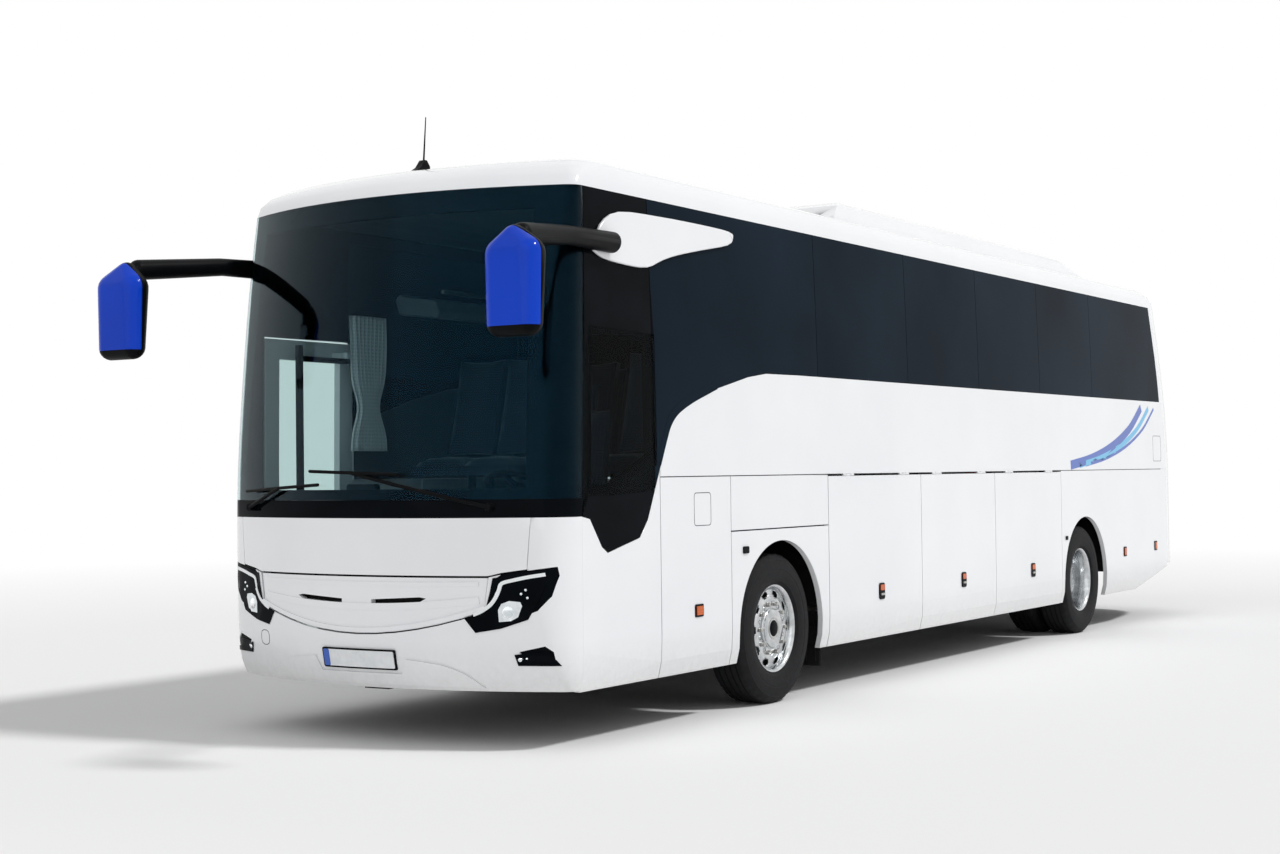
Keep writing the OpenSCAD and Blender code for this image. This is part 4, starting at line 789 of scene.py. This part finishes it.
def number_plate():
    """A blank plate with a plain blue end in a black holder."""
    work = bmesh.new()
    low, high = (-PLATE_HALF, PLATE_LOW), (PLATE_HALF, PLATE_HIGH)
    inner_low = (low[0] + PLATE_EDGE, low[1] + PLATE_EDGE)
    inner_high = (high[0] - PLATE_EDGE, high[1] - PLATE_EDGE)
    band_high = (low[0] + PLATE_EDGE + PLATE_BAND, inner_high[1])
    seated_plate(work, NOSE, rounded(low, high, 0.012), 0.012, 0.013, PLATE_STEP)
    seated_plate(work, NOSE, rounded(inner_low, inner_high, 0.008), 0.014, 0.004, PLATE_STEP, 1)
    seated_plate(work, NOSE, rounded(inner_low, band_high, 0.008), 0.0145, 0.004, PLATE_STEP, 2)
    materials = ["black_grained_plastic", "reflective_sheet", "royal_blue_film"]
    piece("plate_holder", work, materials, "coach")


def gap_shade_line(work, skin, outline, width=0.004):
    """A dark line round a lid: painted shade of the narrow gap there."""
    closed = outline + outline[:1]
    for a, b in zip(closed, closed[1:]):
        seated_plate(work, skin, strip_outline([a, b], width), 0.0006, 0.0012, 0.3)


headlamps()
grille_trim()
chin()
number_plate()


# Lamps, handles, lines and film on the sides

HANDLE_W, HANDLE_H, HANDLE_Z, HANDLE_BACK = 0.090, 0.120, 0.660, 0.054
HANDLE_MATERIALS = ["black_grained_plastic", "amber_acrylic", "plated_steel"]
# One plate for the whole of an outline, without cuts
WHOLE = 1
BEZEL = 0.012
FILLER = ((0.948, 1.221), (1.153, 1.424))
REAR_VENT = ((-8.470, 1.610), (-8.210, 1.870))
SENSORS = [(0.507, 1.046, 0.070, 0.046), (-5.550, 0.909, 0.046, 0.036)]
FAIRING = [(2.235, 2.830), (2.150, 2.990), (1.950, 3.084), (1.500, 3.104), (1.000, 3.107), (0.640, 3.099),
           (0.589, 3.062), (0.660, 3.008), (1.000, 2.944), (1.300, 2.885), (1.480, 2.838), (1.660, 2.780),
           (1.900, 2.776), (2.130, 2.795)]
BAND_CORNER = [(1.540, 1.592), (1.455, 1.760), (1.405, 1.840), (1.335, 1.900), (1.240, 1.946), (1.120, 1.990),
               (0.980, 2.033), (0.830, 2.078)]
WAIST_Z, WAIST_FROM, WAIST_TO = 1.5265, 1.548, -8.440
# Bands of film that rise towards the tail, as distances ahead of the front axle and heights
BAND_PATH = [(-5.70, 1.575), (-6.30, 1.640), (-6.90, 1.755), (-7.45, 1.930), (-7.85, 2.150)]
BANDS = [(0.00, 0.085, "royal_blue_film"), (0.24, 0.055, "sky_blue_film"), (0.42, 0.030, "royal_blue_film")]


def flap_handles():
    """A lamp over a pull recess in one black frame, on each luggage flap."""
    for side, flaps in FLAPS.items():
        for flap in flaps:
            low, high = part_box(flap)
            x = (low.x + high.x) / 2 - HANDLE_BACK
            left, right = x - HANDLE_W / 2, x + HANDLE_W / 2
            bottom, top = HANDLE_Z - HANDLE_H / 2, HANDLE_Z + HANDLE_H / 2
            work = bmesh.new()
            frame_outline = rounded((left, bottom), (right, top), 0.020)
            lens = rounded((left + BEZEL, HANDLE_Z + 0.006), (right - BEZEL, top - BEZEL), 0.008)
            grip = rounded((left + BEZEL, bottom + 0.030), (right - BEZEL, bottom + 0.046), 0.007)
            seated_plate(work, SIDES[side], frame_outline, 0.008, 0.010, WHOLE)
            seated_plate(work, SIDES[side], lens, 0.012, 0.006, WHOLE, 1)
            seated_plate(work, SIDES[side], grip, 0.016, 0.008, WHOLE, 2)
            piece(f"{flap}_handle", work, HANDLE_MATERIALS, BODY_OF[flap])


def lid_line(work, skin, low, high):
    """The line round a small lid with corners given ahead of the front axle."""
    gap_shade_line(work, skin, rounded((ahead(low[0]), low[1]), (ahead(high[0]), high[1]), 0.02, 2))


def side_trim():
    """Black frames of the marker lamps, sensors, and the lines of lids and of the waist, which are painted
    shade of their narrow gaps.
    """
    work = bmesh.new()
    for points in solids("side_markers"):
        low, high = corners(points)
        outline = rounded((low.x - BEZEL, low.z - BEZEL), (high.x + BEZEL, high.z + BEZEL), 0.010)
        seated_plate(work, SIDES[LEFT if low.y > 0 else RIGHT], outline, 0.006, 0.007, WHOLE)
    for side in (LEFT, RIGHT):
        for x, z, wide, tall in SENSORS:
            half = (wide / 2, tall / 2)
            outline = rounded((ahead(x) - half[0], z - half[1]), (ahead(x) + half[0], z + half[1]), 0.010)
            seated_plate(work, SIDES[side], outline, 0.010, 0.012, WHOLE)
        lid_line(work, SIDES[side], *REAR_VENT)
    # The waist line along the tops of the flaps is painted shade of their gap.
    waist = strip_outline([(ahead(WAIST_FROM), WAIST_Z), (ahead(WAIST_TO), WAIST_Z)], 0.005)
    seated_plate(work, SIDES[LEFT], waist, 0.0008, 0.0014, 0.5)
    lid_line(work, SIDES[LEFT], *FILLER)
    gap_shade_line(work, NOSE, rounded(*TOW_COVER, 0.03, 2))
    piece("side_trim", work, ["black_grained_plastic"], "coach")


def mirror_fairings():
    """The leaf that each mirror arm is bolted to, with a smooth outline."""
    work = bmesh.new()
    for side in (LEFT, RIGHT):
        outline = [(ahead(x), z) for x, z in smoothed(FAIRING + FAIRING[:1], 3)[:-1]]
        seated_plate(work, SIDES[side], outline, 0.022, 0.021, 0.25)
    obj = piece("mirror_fairings_finish", work, ["white_enamel"], "coach")
    rounded_edges(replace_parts(obj, "mirror_fairings"), 0.006)


def band_corner():
    """Glass that rounds the corner of the window band behind the driver."""
    work = bmesh.new()
    low = smoothed(BAND_CORNER)
    high = [(x + 0.03, z + 0.05) for x, z in low]
    outline = [(ahead(x), z) for x, z in low + high[::-1]]
    seated_plate(work, SIDES[LEFT], outline, 0.0012, 0.0018, 0.2)
    piece("band_corner", work, ["tinted_glass"], "coach")


def film_bands():
    """Plain curved bands in two blues on the panel under the rear windows."""
    work = bmesh.new()
    for back, width, film in BANDS:
        for side in (LEFT, RIGHT):
            path = smoothed([(ahead(x - back), z) for x, z in BAND_PATH])
            band = strip_outline(path, width)
            seated_plate(work, SIDES[side], band, 0.0008, 0.0014, 0.2, int(film == "sky_blue_film"))
    piece("film_bands", work, ["royal_blue_film", "sky_blue_film"], "coach")


flap_handles()
side_trim()
mirror_fairings()
band_corner()
film_bands()


# Front wheels: dished trim, caps over the nuts, the hub's centre, and a black ring behind the hand holes that
# is painted shade seen through them. Profiles start at the rim's face.

WHEELS = [("wheel_front_left", "rim_front_left", LEFT), ("wheel_front_right", "rim_front_right", RIGHT)]
NUTS, NUT_CIRCLE, FACE_GAP = 10, 0.1675, 0.001
CAP_PROFILE = [(0.0, 0.0), (0.030, 0.0), (0.052, -0.004), (0.060, -0.012), (0.060, -0.030), (0.0, -0.030)]
RING_PROFILE = [(0.062, -0.006), (0.072, -0.004), (0.075, -0.012), (0.074, -0.030), (0.062, -0.030),
                (0.062, -0.006)]
NUT_PROFILE = [(0.0, 0.0), (0.008, -0.001), (0.0135, -0.004), (0.0145, -0.010), (0.0145, -0.024),
               (0.0, -0.024)]
HUB_STEPS, NUT_STEPS = 48, 12
# Hand holes of the dished trim: for each span of its section that they cross, half of the steps left open
DISH_PROFILE = [(0.264, -0.040), (0.256, -0.038), (0.246, -0.0355), (0.236, -0.033), (0.226, -0.0305),
                (0.212, -0.027), (0.197, -0.0245), (0.193, -0.026), (0.136, -0.026), (0.132, -0.012)]
DISH_STEPS, HOLE_PITCH, DISH_WALL = 120, 12, 0.002
HAND_HOLE = {1: 2, 2: 3, 3: 3, 4: 2}
# A black ring behind the hand holes: painted shade seen through them.
HOLE_SHADE_RING = [(0.260, -0.058), (0.212, -0.050), (0.212, -0.056), (0.260, -0.064), (0.260, -0.058)]


def wheel_dish(name, body, centre, axis):
    """Pressed trim over the disc, open at the hand holes and turned to face outwards."""
    work = bmesh.new()
    made = lathe(work, DISH_PROFILE, centre, DISH_STEPS, axis)
    spans = len(DISH_PROFILE) - 1
    middle = (HOLE_PITCH - 1) / 2
    cut = [made[i * spans + k] for i in range(DISH_STEPS) for k, half in HAND_HOLE.items()
           if abs(i % HOLE_PITCH - middle) < half]
    bmesh.ops.delete(work, geom=cut, context="FACES")
    bmesh.ops.recalc_face_normals(work, faces=work.faces)
    if sum(face.normal.dot(axis) for face in work.faces) < 0:
        bmesh.ops.reverse_faces(work, faces=work.faces)
    dish = piece(name, work, ["front_wheel_alloy"], body)
    wall = dish.modifiers.new("wall", "SOLIDIFY")
    wall.thickness, wall.offset = DISH_WALL, -1


def wheel_trim():
    for body, rim, side in WHEELS:
        low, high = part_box(rim)
        face = (high.y if side == LEFT else low.y) + side * FACE_GAP
        axis = Vector((0, side, 0))
        centre = Vector((FRONT_AXLE.x, face, FRONT_AXLE.z))
        hub = bmesh.new()
        # The last profile is the black ring of painted shade behind the hand holes.
        for profile, material in ((CAP_PROFILE, 0), (RING_PROFILE, 1), (HOLE_SHADE_RING, 0)):
            lathe(hub, profile, centre, HUB_STEPS, axis, material)
        bmesh.ops.recalc_face_normals(hub, faces=hub.faces)
        piece(f"{rim}_hub_cap_and_hole_shade", hub, ["black_grained_plastic", "plated_steel"], body)
        wheel_dish(f"{rim}_dish", body, centre, axis)
        unit = bmesh.new()
        lathe(unit, NUT_PROFILE, Vector(), NUT_STEPS, axis)
        bmesh.ops.recalc_face_normals(unit, faces=unit.faces)
        places = {"Count": NUTS, "Radius": NUT_CIRCLE, "Centre": centre}
        repeated(f"{rim}_nut_caps", unit, RING, places, "plated_steel", body)


wheel_trim()


# Tail: lamp lenses, louvres of the engine lid and reflectors

TAIL_MATERIALS = ["red_acrylic", "amber_acrylic", "white_light_guide"]
LENS_ROWS = [(1.00, 0), (1.18, 1), (1.36, 0), (1.54, 2)]
LENS_R, LENS_H = 0.046, 0.014
REFLECTOR_IN, REFLECTOR_Z, REFLECTOR_R, REFLECTOR_H = 0.62, 0.60, 0.036, 0.008
LOUVRES, LOUVRE_PITCH, LOUVRE_HALF, LOUVRE_TOP = 11, 0.050, 0.60, 1.36
# Section of a louvre, as (outward, upward)
BLADE = [(-0.002, 0.014), (0.004, 0.014), (0.016, -0.006), (0.016, -0.011), (-0.002, -0.024)]


def tail_lenses():
    """Round lenses down each tail lamp, and a round reflector low beside it."""
    work = bmesh.new()
    for points in solids("tail_lamps"):
        low, high = corners(points)
        y = (low.y + high.y) / 2
        for z, material in LENS_ROWS:
            dome(work, TAIL, (y, z), LENS_R, LENS_H, material)
        dome(work, TAIL, (REFLECTOR_IN * y, REFLECTOR_Z), REFLECTOR_R, REFLECTOR_H)
    piece("tail_lenses", work, TAIL_MATERIALS, "coach")


def louvres():
    """Blades over the radiator opening: one blade that follows the lid's bow, then a row of it."""
    unit = bmesh.new()
    rings = []
    for k in range(-8, 9):
        foot = TAIL.at(LOUVRE_HALF * k / 8, LOUVRE_TOP)
        rings.append([foot + TAIL.outward * out + Vector((0, 0, up)) for out, up in BLADE])
    loft(unit, rings)
    repeated("engine_louvres", unit, ROW, {"Count": LOUVRES, "Step": Vector((0, 0, -LOUVRE_PITCH))},
             "black_grained_plastic", "engine_lid")


tail_lenses()
louvres()


# Roof, mirrors and mud flaps

HATCHES = [0.55, -8.05]
HATCH_LONG, HATCH_WIDE = 0.80, 0.70
# The frame and the lid of a hatch: how far each grows past the lid, its lift and its material
HATCH_LAYERS = [(0.03, 0.012, 1), (0.0, 0.032, 0)]
GLASS_HALF, GLASS_UNDER, GLASS_OVER = 0.105, 0.05, 0.16
MUD_FLAP = ((-0.652, 0.930, 0.190), (-0.646, 1.215, 0.600))
MUD_BOW, MUD_STEPS, MUD_RIBS, MUD_RIB_R, MUD_EDGE = 0.012, 8, 4, 0.007, 0.004


def roof_hatches():
    work = bmesh.new()
    for x in HATCHES:
        for grow, lift, material in HATCH_LAYERS:
            low = (ahead(x) - HATCH_LONG / 2 - grow, -HATCH_WIDE / 2 - grow)
            high = (ahead(x) + HATCH_LONG / 2 + grow, HATCH_WIDE / 2 + grow)
            seated_plate(work, ROOF, rounded(low, high, 0.06), lift, lift + 0.004, 0.2, material)
    hatches = piece("roof_hatches", work, ["white_enamel", "black_grained_plastic"], "coach")
    rounded_edges(hatches, 0.006)


def mirror_glasses():
    work = bmesh.new()
    for points in solids("mirror_caps"):
        low, high = corners(points)
        y = (low.y + high.y) / 2
        outline = rounded((y - GLASS_HALF, low.z + GLASS_UNDER), (y + GLASS_HALF, high.z - GLASS_OVER), 0.05)
        seated_plate(work, MIRROR_BACK, outline, 0.002, 0.006, 0.03)
    piece("mirror_glasses", work, ["silvered_glass"], "coach")


def mud_flaps():
    """Bowed rubber sheets with ribs behind the front wheels, under a steel bar."""
    work = bmesh.new()
    (x0, y0, z0), (x1, y1, z1) = MUD_FLAP
    rib_x = ahead(x1 - MUD_EDGE)
    for side in (LEFT, RIGHT):
        rings = []
        for k in range(MUD_STEPS + 1):
            z = z1 + (z0 - z1) * k / MUD_STEPS
            bow = MUD_BOW * math.sin(math.pi * k / MUD_STEPS)
            ring = [(x0 - bow, y0), (x1 - bow, y0 + MUD_EDGE), (x1 - bow, y1 - MUD_EDGE), (x0 - bow, y1)]
            rings.append([Vector((ahead(x), side * y, z)) for x, y in ring])
        loft(work, rings)
        for k in range(MUD_RIBS):
            y = side * (y0 + (y1 - y0) * (k + 0.5) / MUD_RIBS)
            tube(work, [Vector((rib_x, y, z1 - 0.06)), Vector((rib_x, y, z0 + 0.03))], MUD_RIB_R)
        right, left = sorted((side * y0, side * y1))
        block(work, (ahead(x0 - 0.002), right, z1 - 0.03), (ahead(x1 + 0.006), left, z1), 1)
    piece("mud_flaps", work, ["bellows_rubber", "plated_steel"], "coach")


roof_hatches()
mirror_glasses()
mud_flaps()


# Inside: luggage racks with their rails, a curtain and the set on the dashboard

RACK_PROFILE = [(0.74, 2.66), (0.76, 2.62), (1.10, 2.66), (1.13, 2.76), (1.10, 2.80), (0.78, 2.74)]
RACK_FROM, RACK_TO, RACK_RAIL_Z = 1.10, -8.20, 2.80
CURTAIN_X, CURTAIN_W, CURTAIN_Y = 1.30, 0.34, -1.06
CURTAIN_LOW, CURTAIN_HIGH, PLEATS, PLEAT_DEPTH = 1.72, 2.62, 9, 0.022
# Where the curtain is tied in, as shares of its drop, and by how much of its width
TIE_AT, TIE_SPREAD, TIE_SHARE = 0.68, 0.16, 0.45
# The screen as (y, height) corners, the hood's section as (back, height), and its scale at stations of y
SCREEN = ((-0.33, 0.0), (-0.11, 0.17))
HOOD = [(0.0, 0.0), (0.05, 0.07), (0.18, 0.10), (0.30, 0.05), (0.32, 0.0)]
HOOD_STATIONS = [(0.36, 0.4), (0.42, 0.9), (0.64, 1.0), (0.86, 0.9), (0.92, 0.4)]


def luggage_racks():
    work = bmesh.new()
    for side in (LEFT, RIGHT):
        loft(work, [[Vector((ahead(x), side * y, z)) for y, z in RACK_PROFILE] for x in (RACK_FROM, RACK_TO)])
        rail_y = side * RACK_PROFILE[0][0]
        rail = [Vector((ahead(x), rail_y, RACK_RAIL_Z)) for x in (RACK_FROM - 0.02, RACK_TO)]
        tube(work, rail, 0.016, 10, 1)
    racks = piece("luggage_racks", work, ["trim_plastic", "plated_steel"], "coach")
    rounded_edges(racks, 0.01)


def curtain():
    """A gathered curtain beside the entrance, tied in at two thirds of its drop."""
    work = bmesh.new()
    columns, rows = PLEATS * 8, 24
    grid = []
    for j in range(rows + 1):
        drop = j / rows
        waist = 1 - TIE_SHARE * math.exp(-((drop - TIE_AT) / TIE_SPREAD) ** 2)
        line = []
        for i in range(columns + 1):
            u = i / columns
            x = ahead(CURTAIN_X) + CURTAIN_W * (0.5 + (u - 0.5) * waist)
            ripple = 0.004 * math.sin(9 * drop + 5 * u)
            y = CURTAIN_Y + PLEAT_DEPTH * math.sin(2 * math.pi * PLEATS * u) + ripple
            line.append(work.verts.new((x, y, CURTAIN_HIGH + (CURTAIN_LOW - CURTAIN_HIGH) * drop)))
        grid.append(line)
    for a, b in zip(grid, grid[1:]):
        for i in range(columns):
            work.faces.new([a[i], a[i + 1], b[i + 1], b[i]])
    obj = piece("entrance_curtain", work, ["curtain_cloth"], "coach", 80)
    thick = obj.modifiers.new("cloth_thickness", "SOLIDIFY")
    thick.thickness = 0.0015


def dash_set():
    """A dark screen on the dashboard and the instrument hood behind the steering wheel."""
    work = bmesh.new()
    low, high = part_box("dashboard")
    top = high.z
    x = high.x - 0.20
    loft(work, [[Vector((x + back, y, top - 0.01 + dz)) for y, dz in rounded(*SCREEN, 0.02)]
                for back in (0.0, 0.05)])
    loft(work, [[Vector((low.x + 0.05 + dx, y, top - 0.02 + dz * scale)) for dx, dz in HOOD]
                for y, scale in HOOD_STATIONS])
    piece("dash_set", work, ["dash_plastic"], "coach")


luggage_racks()
curtain()
dash_set()


# Tyres with ribs and shoulder notches

TREAD_STEPS, NOTCH_EVERY, NOTCH_DEPTH = 144, 4, 0.007
TYRE_WIDTH, BEAD_R = 0.29, 0.2835
TYRES = [("tyre_front_left", 1), ("tyre_front_right", 1), ("tyres_rear_left", 2), ("tyres_rear_right", 2)]
# Half of the section: from the bead over the side wall and shoulder to the middle, as
# (share of the side wall's height, share of the half width), then the tread ribs
SIDE_WALL = [(0.0, 0.62), (0.06, 0.80), (0.13, 0.90), (0.15, 0.93), (0.30, 0.985), (0.46, 1.0), (0.50, 0.985),
             (0.52, 1.0), (0.70, 0.985), (0.78, 0.955), (0.80, 0.965), (0.87, 0.90), (0.95, 0.80),
             (0.985, 0.74)]
RIBS = [(1.0, 0.70), (1.0, 0.50), (0.95, 0.485), (0.95, 0.445), (1.0, 0.43), (1.0, 0.19), (0.95, 0.175),
        (0.95, 0.135), (1.0, 0.12), (1.0, 0.0)]


def tyres():
    half = SIDE_WALL + RIBS
    for node, count in TYRES:
        low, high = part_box(node)
        outer = (high.z - low.z) / 2
        section = [(BEAD_R + h * (outer - BEAD_R), w * TYRE_WIDTH / 2) for h, w in half]
        section += [(r, -d) for r, d in section[-2::-1]]
        notched = {k for k, p in enumerate(half) if p in (SIDE_WALL[-1], SIDE_WALL[-2], RIBS[0])}
        notched |= {len(section) - 1 - k for k in notched}
        work = bmesh.new()
        for y in (low.y + TYRE_WIDTH / 2, high.y - TYRE_WIDTH / 2)[:count]:
            centre = Vector(((low.x + high.x) / 2, y, (low.z + high.z) / 2))
            lathe(work, section, centre, TREAD_STEPS,
                  swell=lambda k, step: -NOTCH_DEPTH if k in notched and step % NOTCH_EVERY == 0 else 0.0)
        bmesh.ops.recalc_face_normals(work, faces=work.faces)
        obj = piece(f"{node}_tread", work, ["tyre_rubber"], BODY_OF[node], 28)
        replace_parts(obj, node)


tyres()


# Seats

# How far a pad's sides pull in, how deep its seams and edges fall, and the thickness and gap of a cushion
PULL, SEAM_FALL, EDGE_FALL = 0.05, 0.12, 0.35
CUSHION_T, CUSHION_GAP = 0.13, 0.008
SEAT_LEGS, LEG_R = (-0.12, 0.08), 0.03
FOOT_LOW, FOOT_HIGH = (-0.16, -0.15, 0.0), (0.12, 0.15, 0.012)
BELLOWS, FOLD_OUT, FOLD_IN = 6, 0.9, 0.72


def pad(work, corner, deep, wide, tall, crown, channels, rows=10):
    """A stuffed pad in a box given by a corner and three edges. Its front, at the far end of deep, is
    crowned with sewn channels across tall, and its sides pull in between the corners."""
    grid = {}

    def at(i, j, k):
        if (i, j, k) not in grid:
            s, t, d = 2 * i / rows - 1, 2 * j / rows - 1, k / 2
            s2 = s * (1 - PULL * (1 - t * t) * abs(s))
            t2 = t * (1 - PULL * (1 - s * s) * abs(t))
            seam = max(0.0, math.cos(math.pi * channels * (t + 1) / 2) ** 8) if channels else 0.0
            round_off = 1 - EDGE_FALL * max(abs(s), abs(t)) ** 6
            swell = (1 - crown) + crown * (1 - s ** 4) * (1 - t ** 4) - SEAM_FALL * seam * (1 - s ** 6)
            depth = d * (swell if k == 2 else 1.0) * (round_off if k == 2 else 1.0)
            grid[i, j, k] = work.verts.new(corner + wide * (s2 + 1) / 2 + tall * (t2 + 1) / 2 + deep * depth)
        return grid[i, j, k]

    made = []
    for i in range(rows):
        for j in range(rows):
            for k in (0, 2):
                cell = [at(i, j, k), at(i + 1, j, k), at(i + 1, j + 1, k), at(i, j + 1, k)]
                made.append(work.faces.new(cell))
    ring = [(i, 0) for i in range(rows)] + [(rows, j) for j in range(rows)]
    ring += [(rows - i, rows) for i in range(rows)] + [(0, rows - j) for j in range(rows)]
    for n, (i, j) in enumerate(ring):
        a, b = ring[(n + 1) % len(ring)]
        for k in (0, 1):
            made.append(work.faces.new([at(i, j, k), at(a, b, k), at(a, b, k + 1), at(i, j, k + 1)]))
    bmesh.ops.recalc_face_normals(work, faces=made)


def box_edges(points):
    """A box solid's lowest rear right corner and its edges forward, to the left and upward."""
    base = min(points, key=lambda p: p.z * 4 + p.x + p.y)
    others = sorted((p - base for p in points if p != base), key=lambda e: e.length)
    axes = []
    for e in others:
        if len(axes) < 3 and all(abs(e.normalized().dot(a.normalized())) < 0.3 for a in axes):
            axes.append(e)
    forward = max(axes, key=lambda e: abs(e.normalized().x))
    left = max(axes, key=lambda e: abs(e.normalized().y))
    up = max(axes, key=lambda e: abs(e.normalized().z))
    return base, forward, left, up


def upholstered(name, pads, node):
    """Pads in seat cloth, which stand for a node."""
    obj = piece(name, pads, ["moquette"], "coach", 60)
    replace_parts(obj, node)


def passenger_seats():
    """Channelled pads on the backs and two cushions on each base, over legs on a foot plate."""
    backs, cushions, legs = bmesh.new(), bmesh.new(), bmesh.new()
    for points in solids("seat_backs"):
        corner, forward, left, up = box_edges(points)
        pad(backs, corner, forward, left, up, 0.35, 4)
    for points in solids("seat_bases"):
        low, high = corners(points)
        seat_low = high.z - CUSHION_T
        half = (high.y - low.y) / 2
        thick, wide = Vector((0, 0, CUSHION_T)), Vector((0, half - 2 * CUSHION_GAP, 0))
        for k in range(2):
            corner = Vector((low.x, low.y + half * k + CUSHION_GAP, seat_low))
            pad(cushions, corner, thick, wide, Vector((high.x - low.x, 0, 0)), 0.3, 3)
        foot = Vector(((low.x + high.x) / 2, (low.y + high.y) / 2, low.z))
        for x in SEAT_LEGS:
            tube(legs, [foot + Vector((x, 0, 0)), foot + Vector((x, 0, seat_low - low.z))], LEG_R, 10)
        block(legs, foot + Vector(FOOT_LOW), foot + Vector(FOOT_HIGH))
    upholstered("seat_back_pads", backs, "seat_backs")
    upholstered("seat_cushions", cushions, "seat_bases")
    piece("seat_legs", legs, ["chassis_paint"], "coach")


def driver_seat():
    """The driver's seat on a rubber bellows."""
    pads, stand = bmesh.new(), bmesh.new()
    parts = sorted(solids("driver_seat"), key=lambda points: min(p.z for p in points))
    corner, forward, left, up = box_edges(parts[0])
    for k in range(BELLOWS):
        share = FOLD_IN if k % 2 else FOLD_OUT
        shrink = (forward + left) * (1 - share) / 2
        low = corner + shrink + up * (k / BELLOWS)
        block(stand, low, low + forward * share + left * share + up / BELLOWS)
    corner, forward, left, up = box_edges(parts[1])
    pad(pads, corner, up, left, forward, 0.35, 3)
    for points in parts[2:]:
        corner, forward, left, up = box_edges(points)
        pad(pads, corner, forward, left, up, 0.4, 4 if up.length > 0.4 else 0)
    upholstered("driver_seat_pads", pads, "driver_seat")
    piece("driver_seat_stand", stand, ["bellows_rubber"], "coach")


passenger_seats()
driver_seat()


# Studio: floor, light and camera

SKY = 0.46
# The key light comes over the left side from behind, and a wide soft light fills the nose
LIGHTS = [("key_light", 1.62, 7, (-0.20, 0.60, 0.77)), ("nose_light", 0.45, 70, (0.88, 0.05, 0.45))]
FLOOR_HALF, FADE_FROM, FADE_TO = 160, 8.0, 22.0


def studio():
    world = bpy.data.worlds.new("studio")
    bpy.context.scene.world = world
    world.use_nodes = True
    tree = world.node_tree
    light = add(tree, "ShaderNodeLightPath", {}, {})
    seen = add(tree, "ShaderNodeMath", {"operation": "MAXIMUM"},
               {0: light.outputs["Is Camera Ray"], 1: light.outputs["Is Glossy Ray"]})
    seen = add(tree, "ShaderNodeMath", {"operation": "MAXIMUM"},
               {0: seen.outputs["Value"], 1: light.outputs["Is Transmission Ray"]})
    strength = add(tree, "ShaderNodeMapRange", {"To Min": SKY, "To Max": 1.0},
                   {"Value": seen.outputs["Value"]})
    background = tree.nodes["Background"]
    background.inputs["Color"].default_value = (1, 1, 1, 1)
    tree.links.new(strength.outputs["Result"], background.inputs["Strength"])
    for name, energy, spread, toward in LIGHTS:
        sun = bpy.data.lights.new(name, "SUN")
        sun.energy = energy
        sun.angle = math.radians(spread)
        linked(name, sun).rotation_euler = Vector(toward).to_track_quat("Z", "Y").to_euler()


def floor():
    """A pale paper floor that fades to plain white away from the coach."""
    work = bmesh.new()
    bmesh.ops.create_grid(work, x_segments=1, y_segments=1, size=FLOOR_HALF)
    obj = linked("studio_floor", mesh_from("studio_floor", work))
    tree, shader, coords = finish("studio_paper", "#f6f6f6", 0.9, Specular_IOR_Level=0.0)
    far = add(tree, "ShaderNodeVectorMath", {"operation": "LENGTH"}, {0: coords})
    fade = add(tree, "ShaderNodeMapRange", {"From Min": FADE_FROM, "From Max": FADE_TO},
               {"Value": far.outputs["Value"]})
    white = add(tree, "ShaderNodeEmission", {"Color": (1, 1, 1, 1), "Strength": 1.0}, {})
    mix = add(tree, "ShaderNodeMixShader", {}, {0: fade.outputs["Result"], 1: shader.outputs["BSDF"],
                                                2: white.outputs["Emission"]})
    tree.links.new(mix.outputs["Shader"], tree.nodes["Material Output"].inputs["Surface"])
    obj.data.materials.append(MATERIALS["studio_paper"])


PHOTO_WIDTH = 1280
FOCAL_PIXELS = 1908.8
SENSOR_MM = 36.0
# The camera stands ahead of and to the left of the front axle
CAMERA_AT = Vector((ahead(11.339), 7.278, 1.554))
CAMERA_YAW, CAMERA_PITCH, CAMERA_ROLL = (math.radians(a) for a in (212.11, 1.37, -0.696))


def camera():
    lens = bpy.data.cameras.new("photo_view")
    lens.sensor_fit = "HORIZONTAL"
    lens.sensor_width = SENSOR_MM
    lens.lens = FOCAL_PIXELS * SENSOR_MM / PHOTO_WIDTH
    lens.clip_end = 500
    obj = linked("photo_view", lens)
    level = math.cos(CAMERA_PITCH)
    look = Vector((level * math.cos(CAMERA_YAW), level * math.sin(CAMERA_YAW), math.sin(CAMERA_PITCH)))
    right = look.cross(Vector((0, 0, 1))).normalized()
    up = right.cross(look)
    tilt = Matrix.Rotation(-CAMERA_ROLL, 3, look)
    right, up = tilt @ right, tilt @ up
    obj.matrix_world = Matrix.Translation(CAMERA_AT) @ Matrix((right, up, -look)).transposed().to_4x4()
    bpy.context.scene.camera = obj


studio()
floor()
camera()
bpy.context.scene.view_settings.view_transform = "Standard"
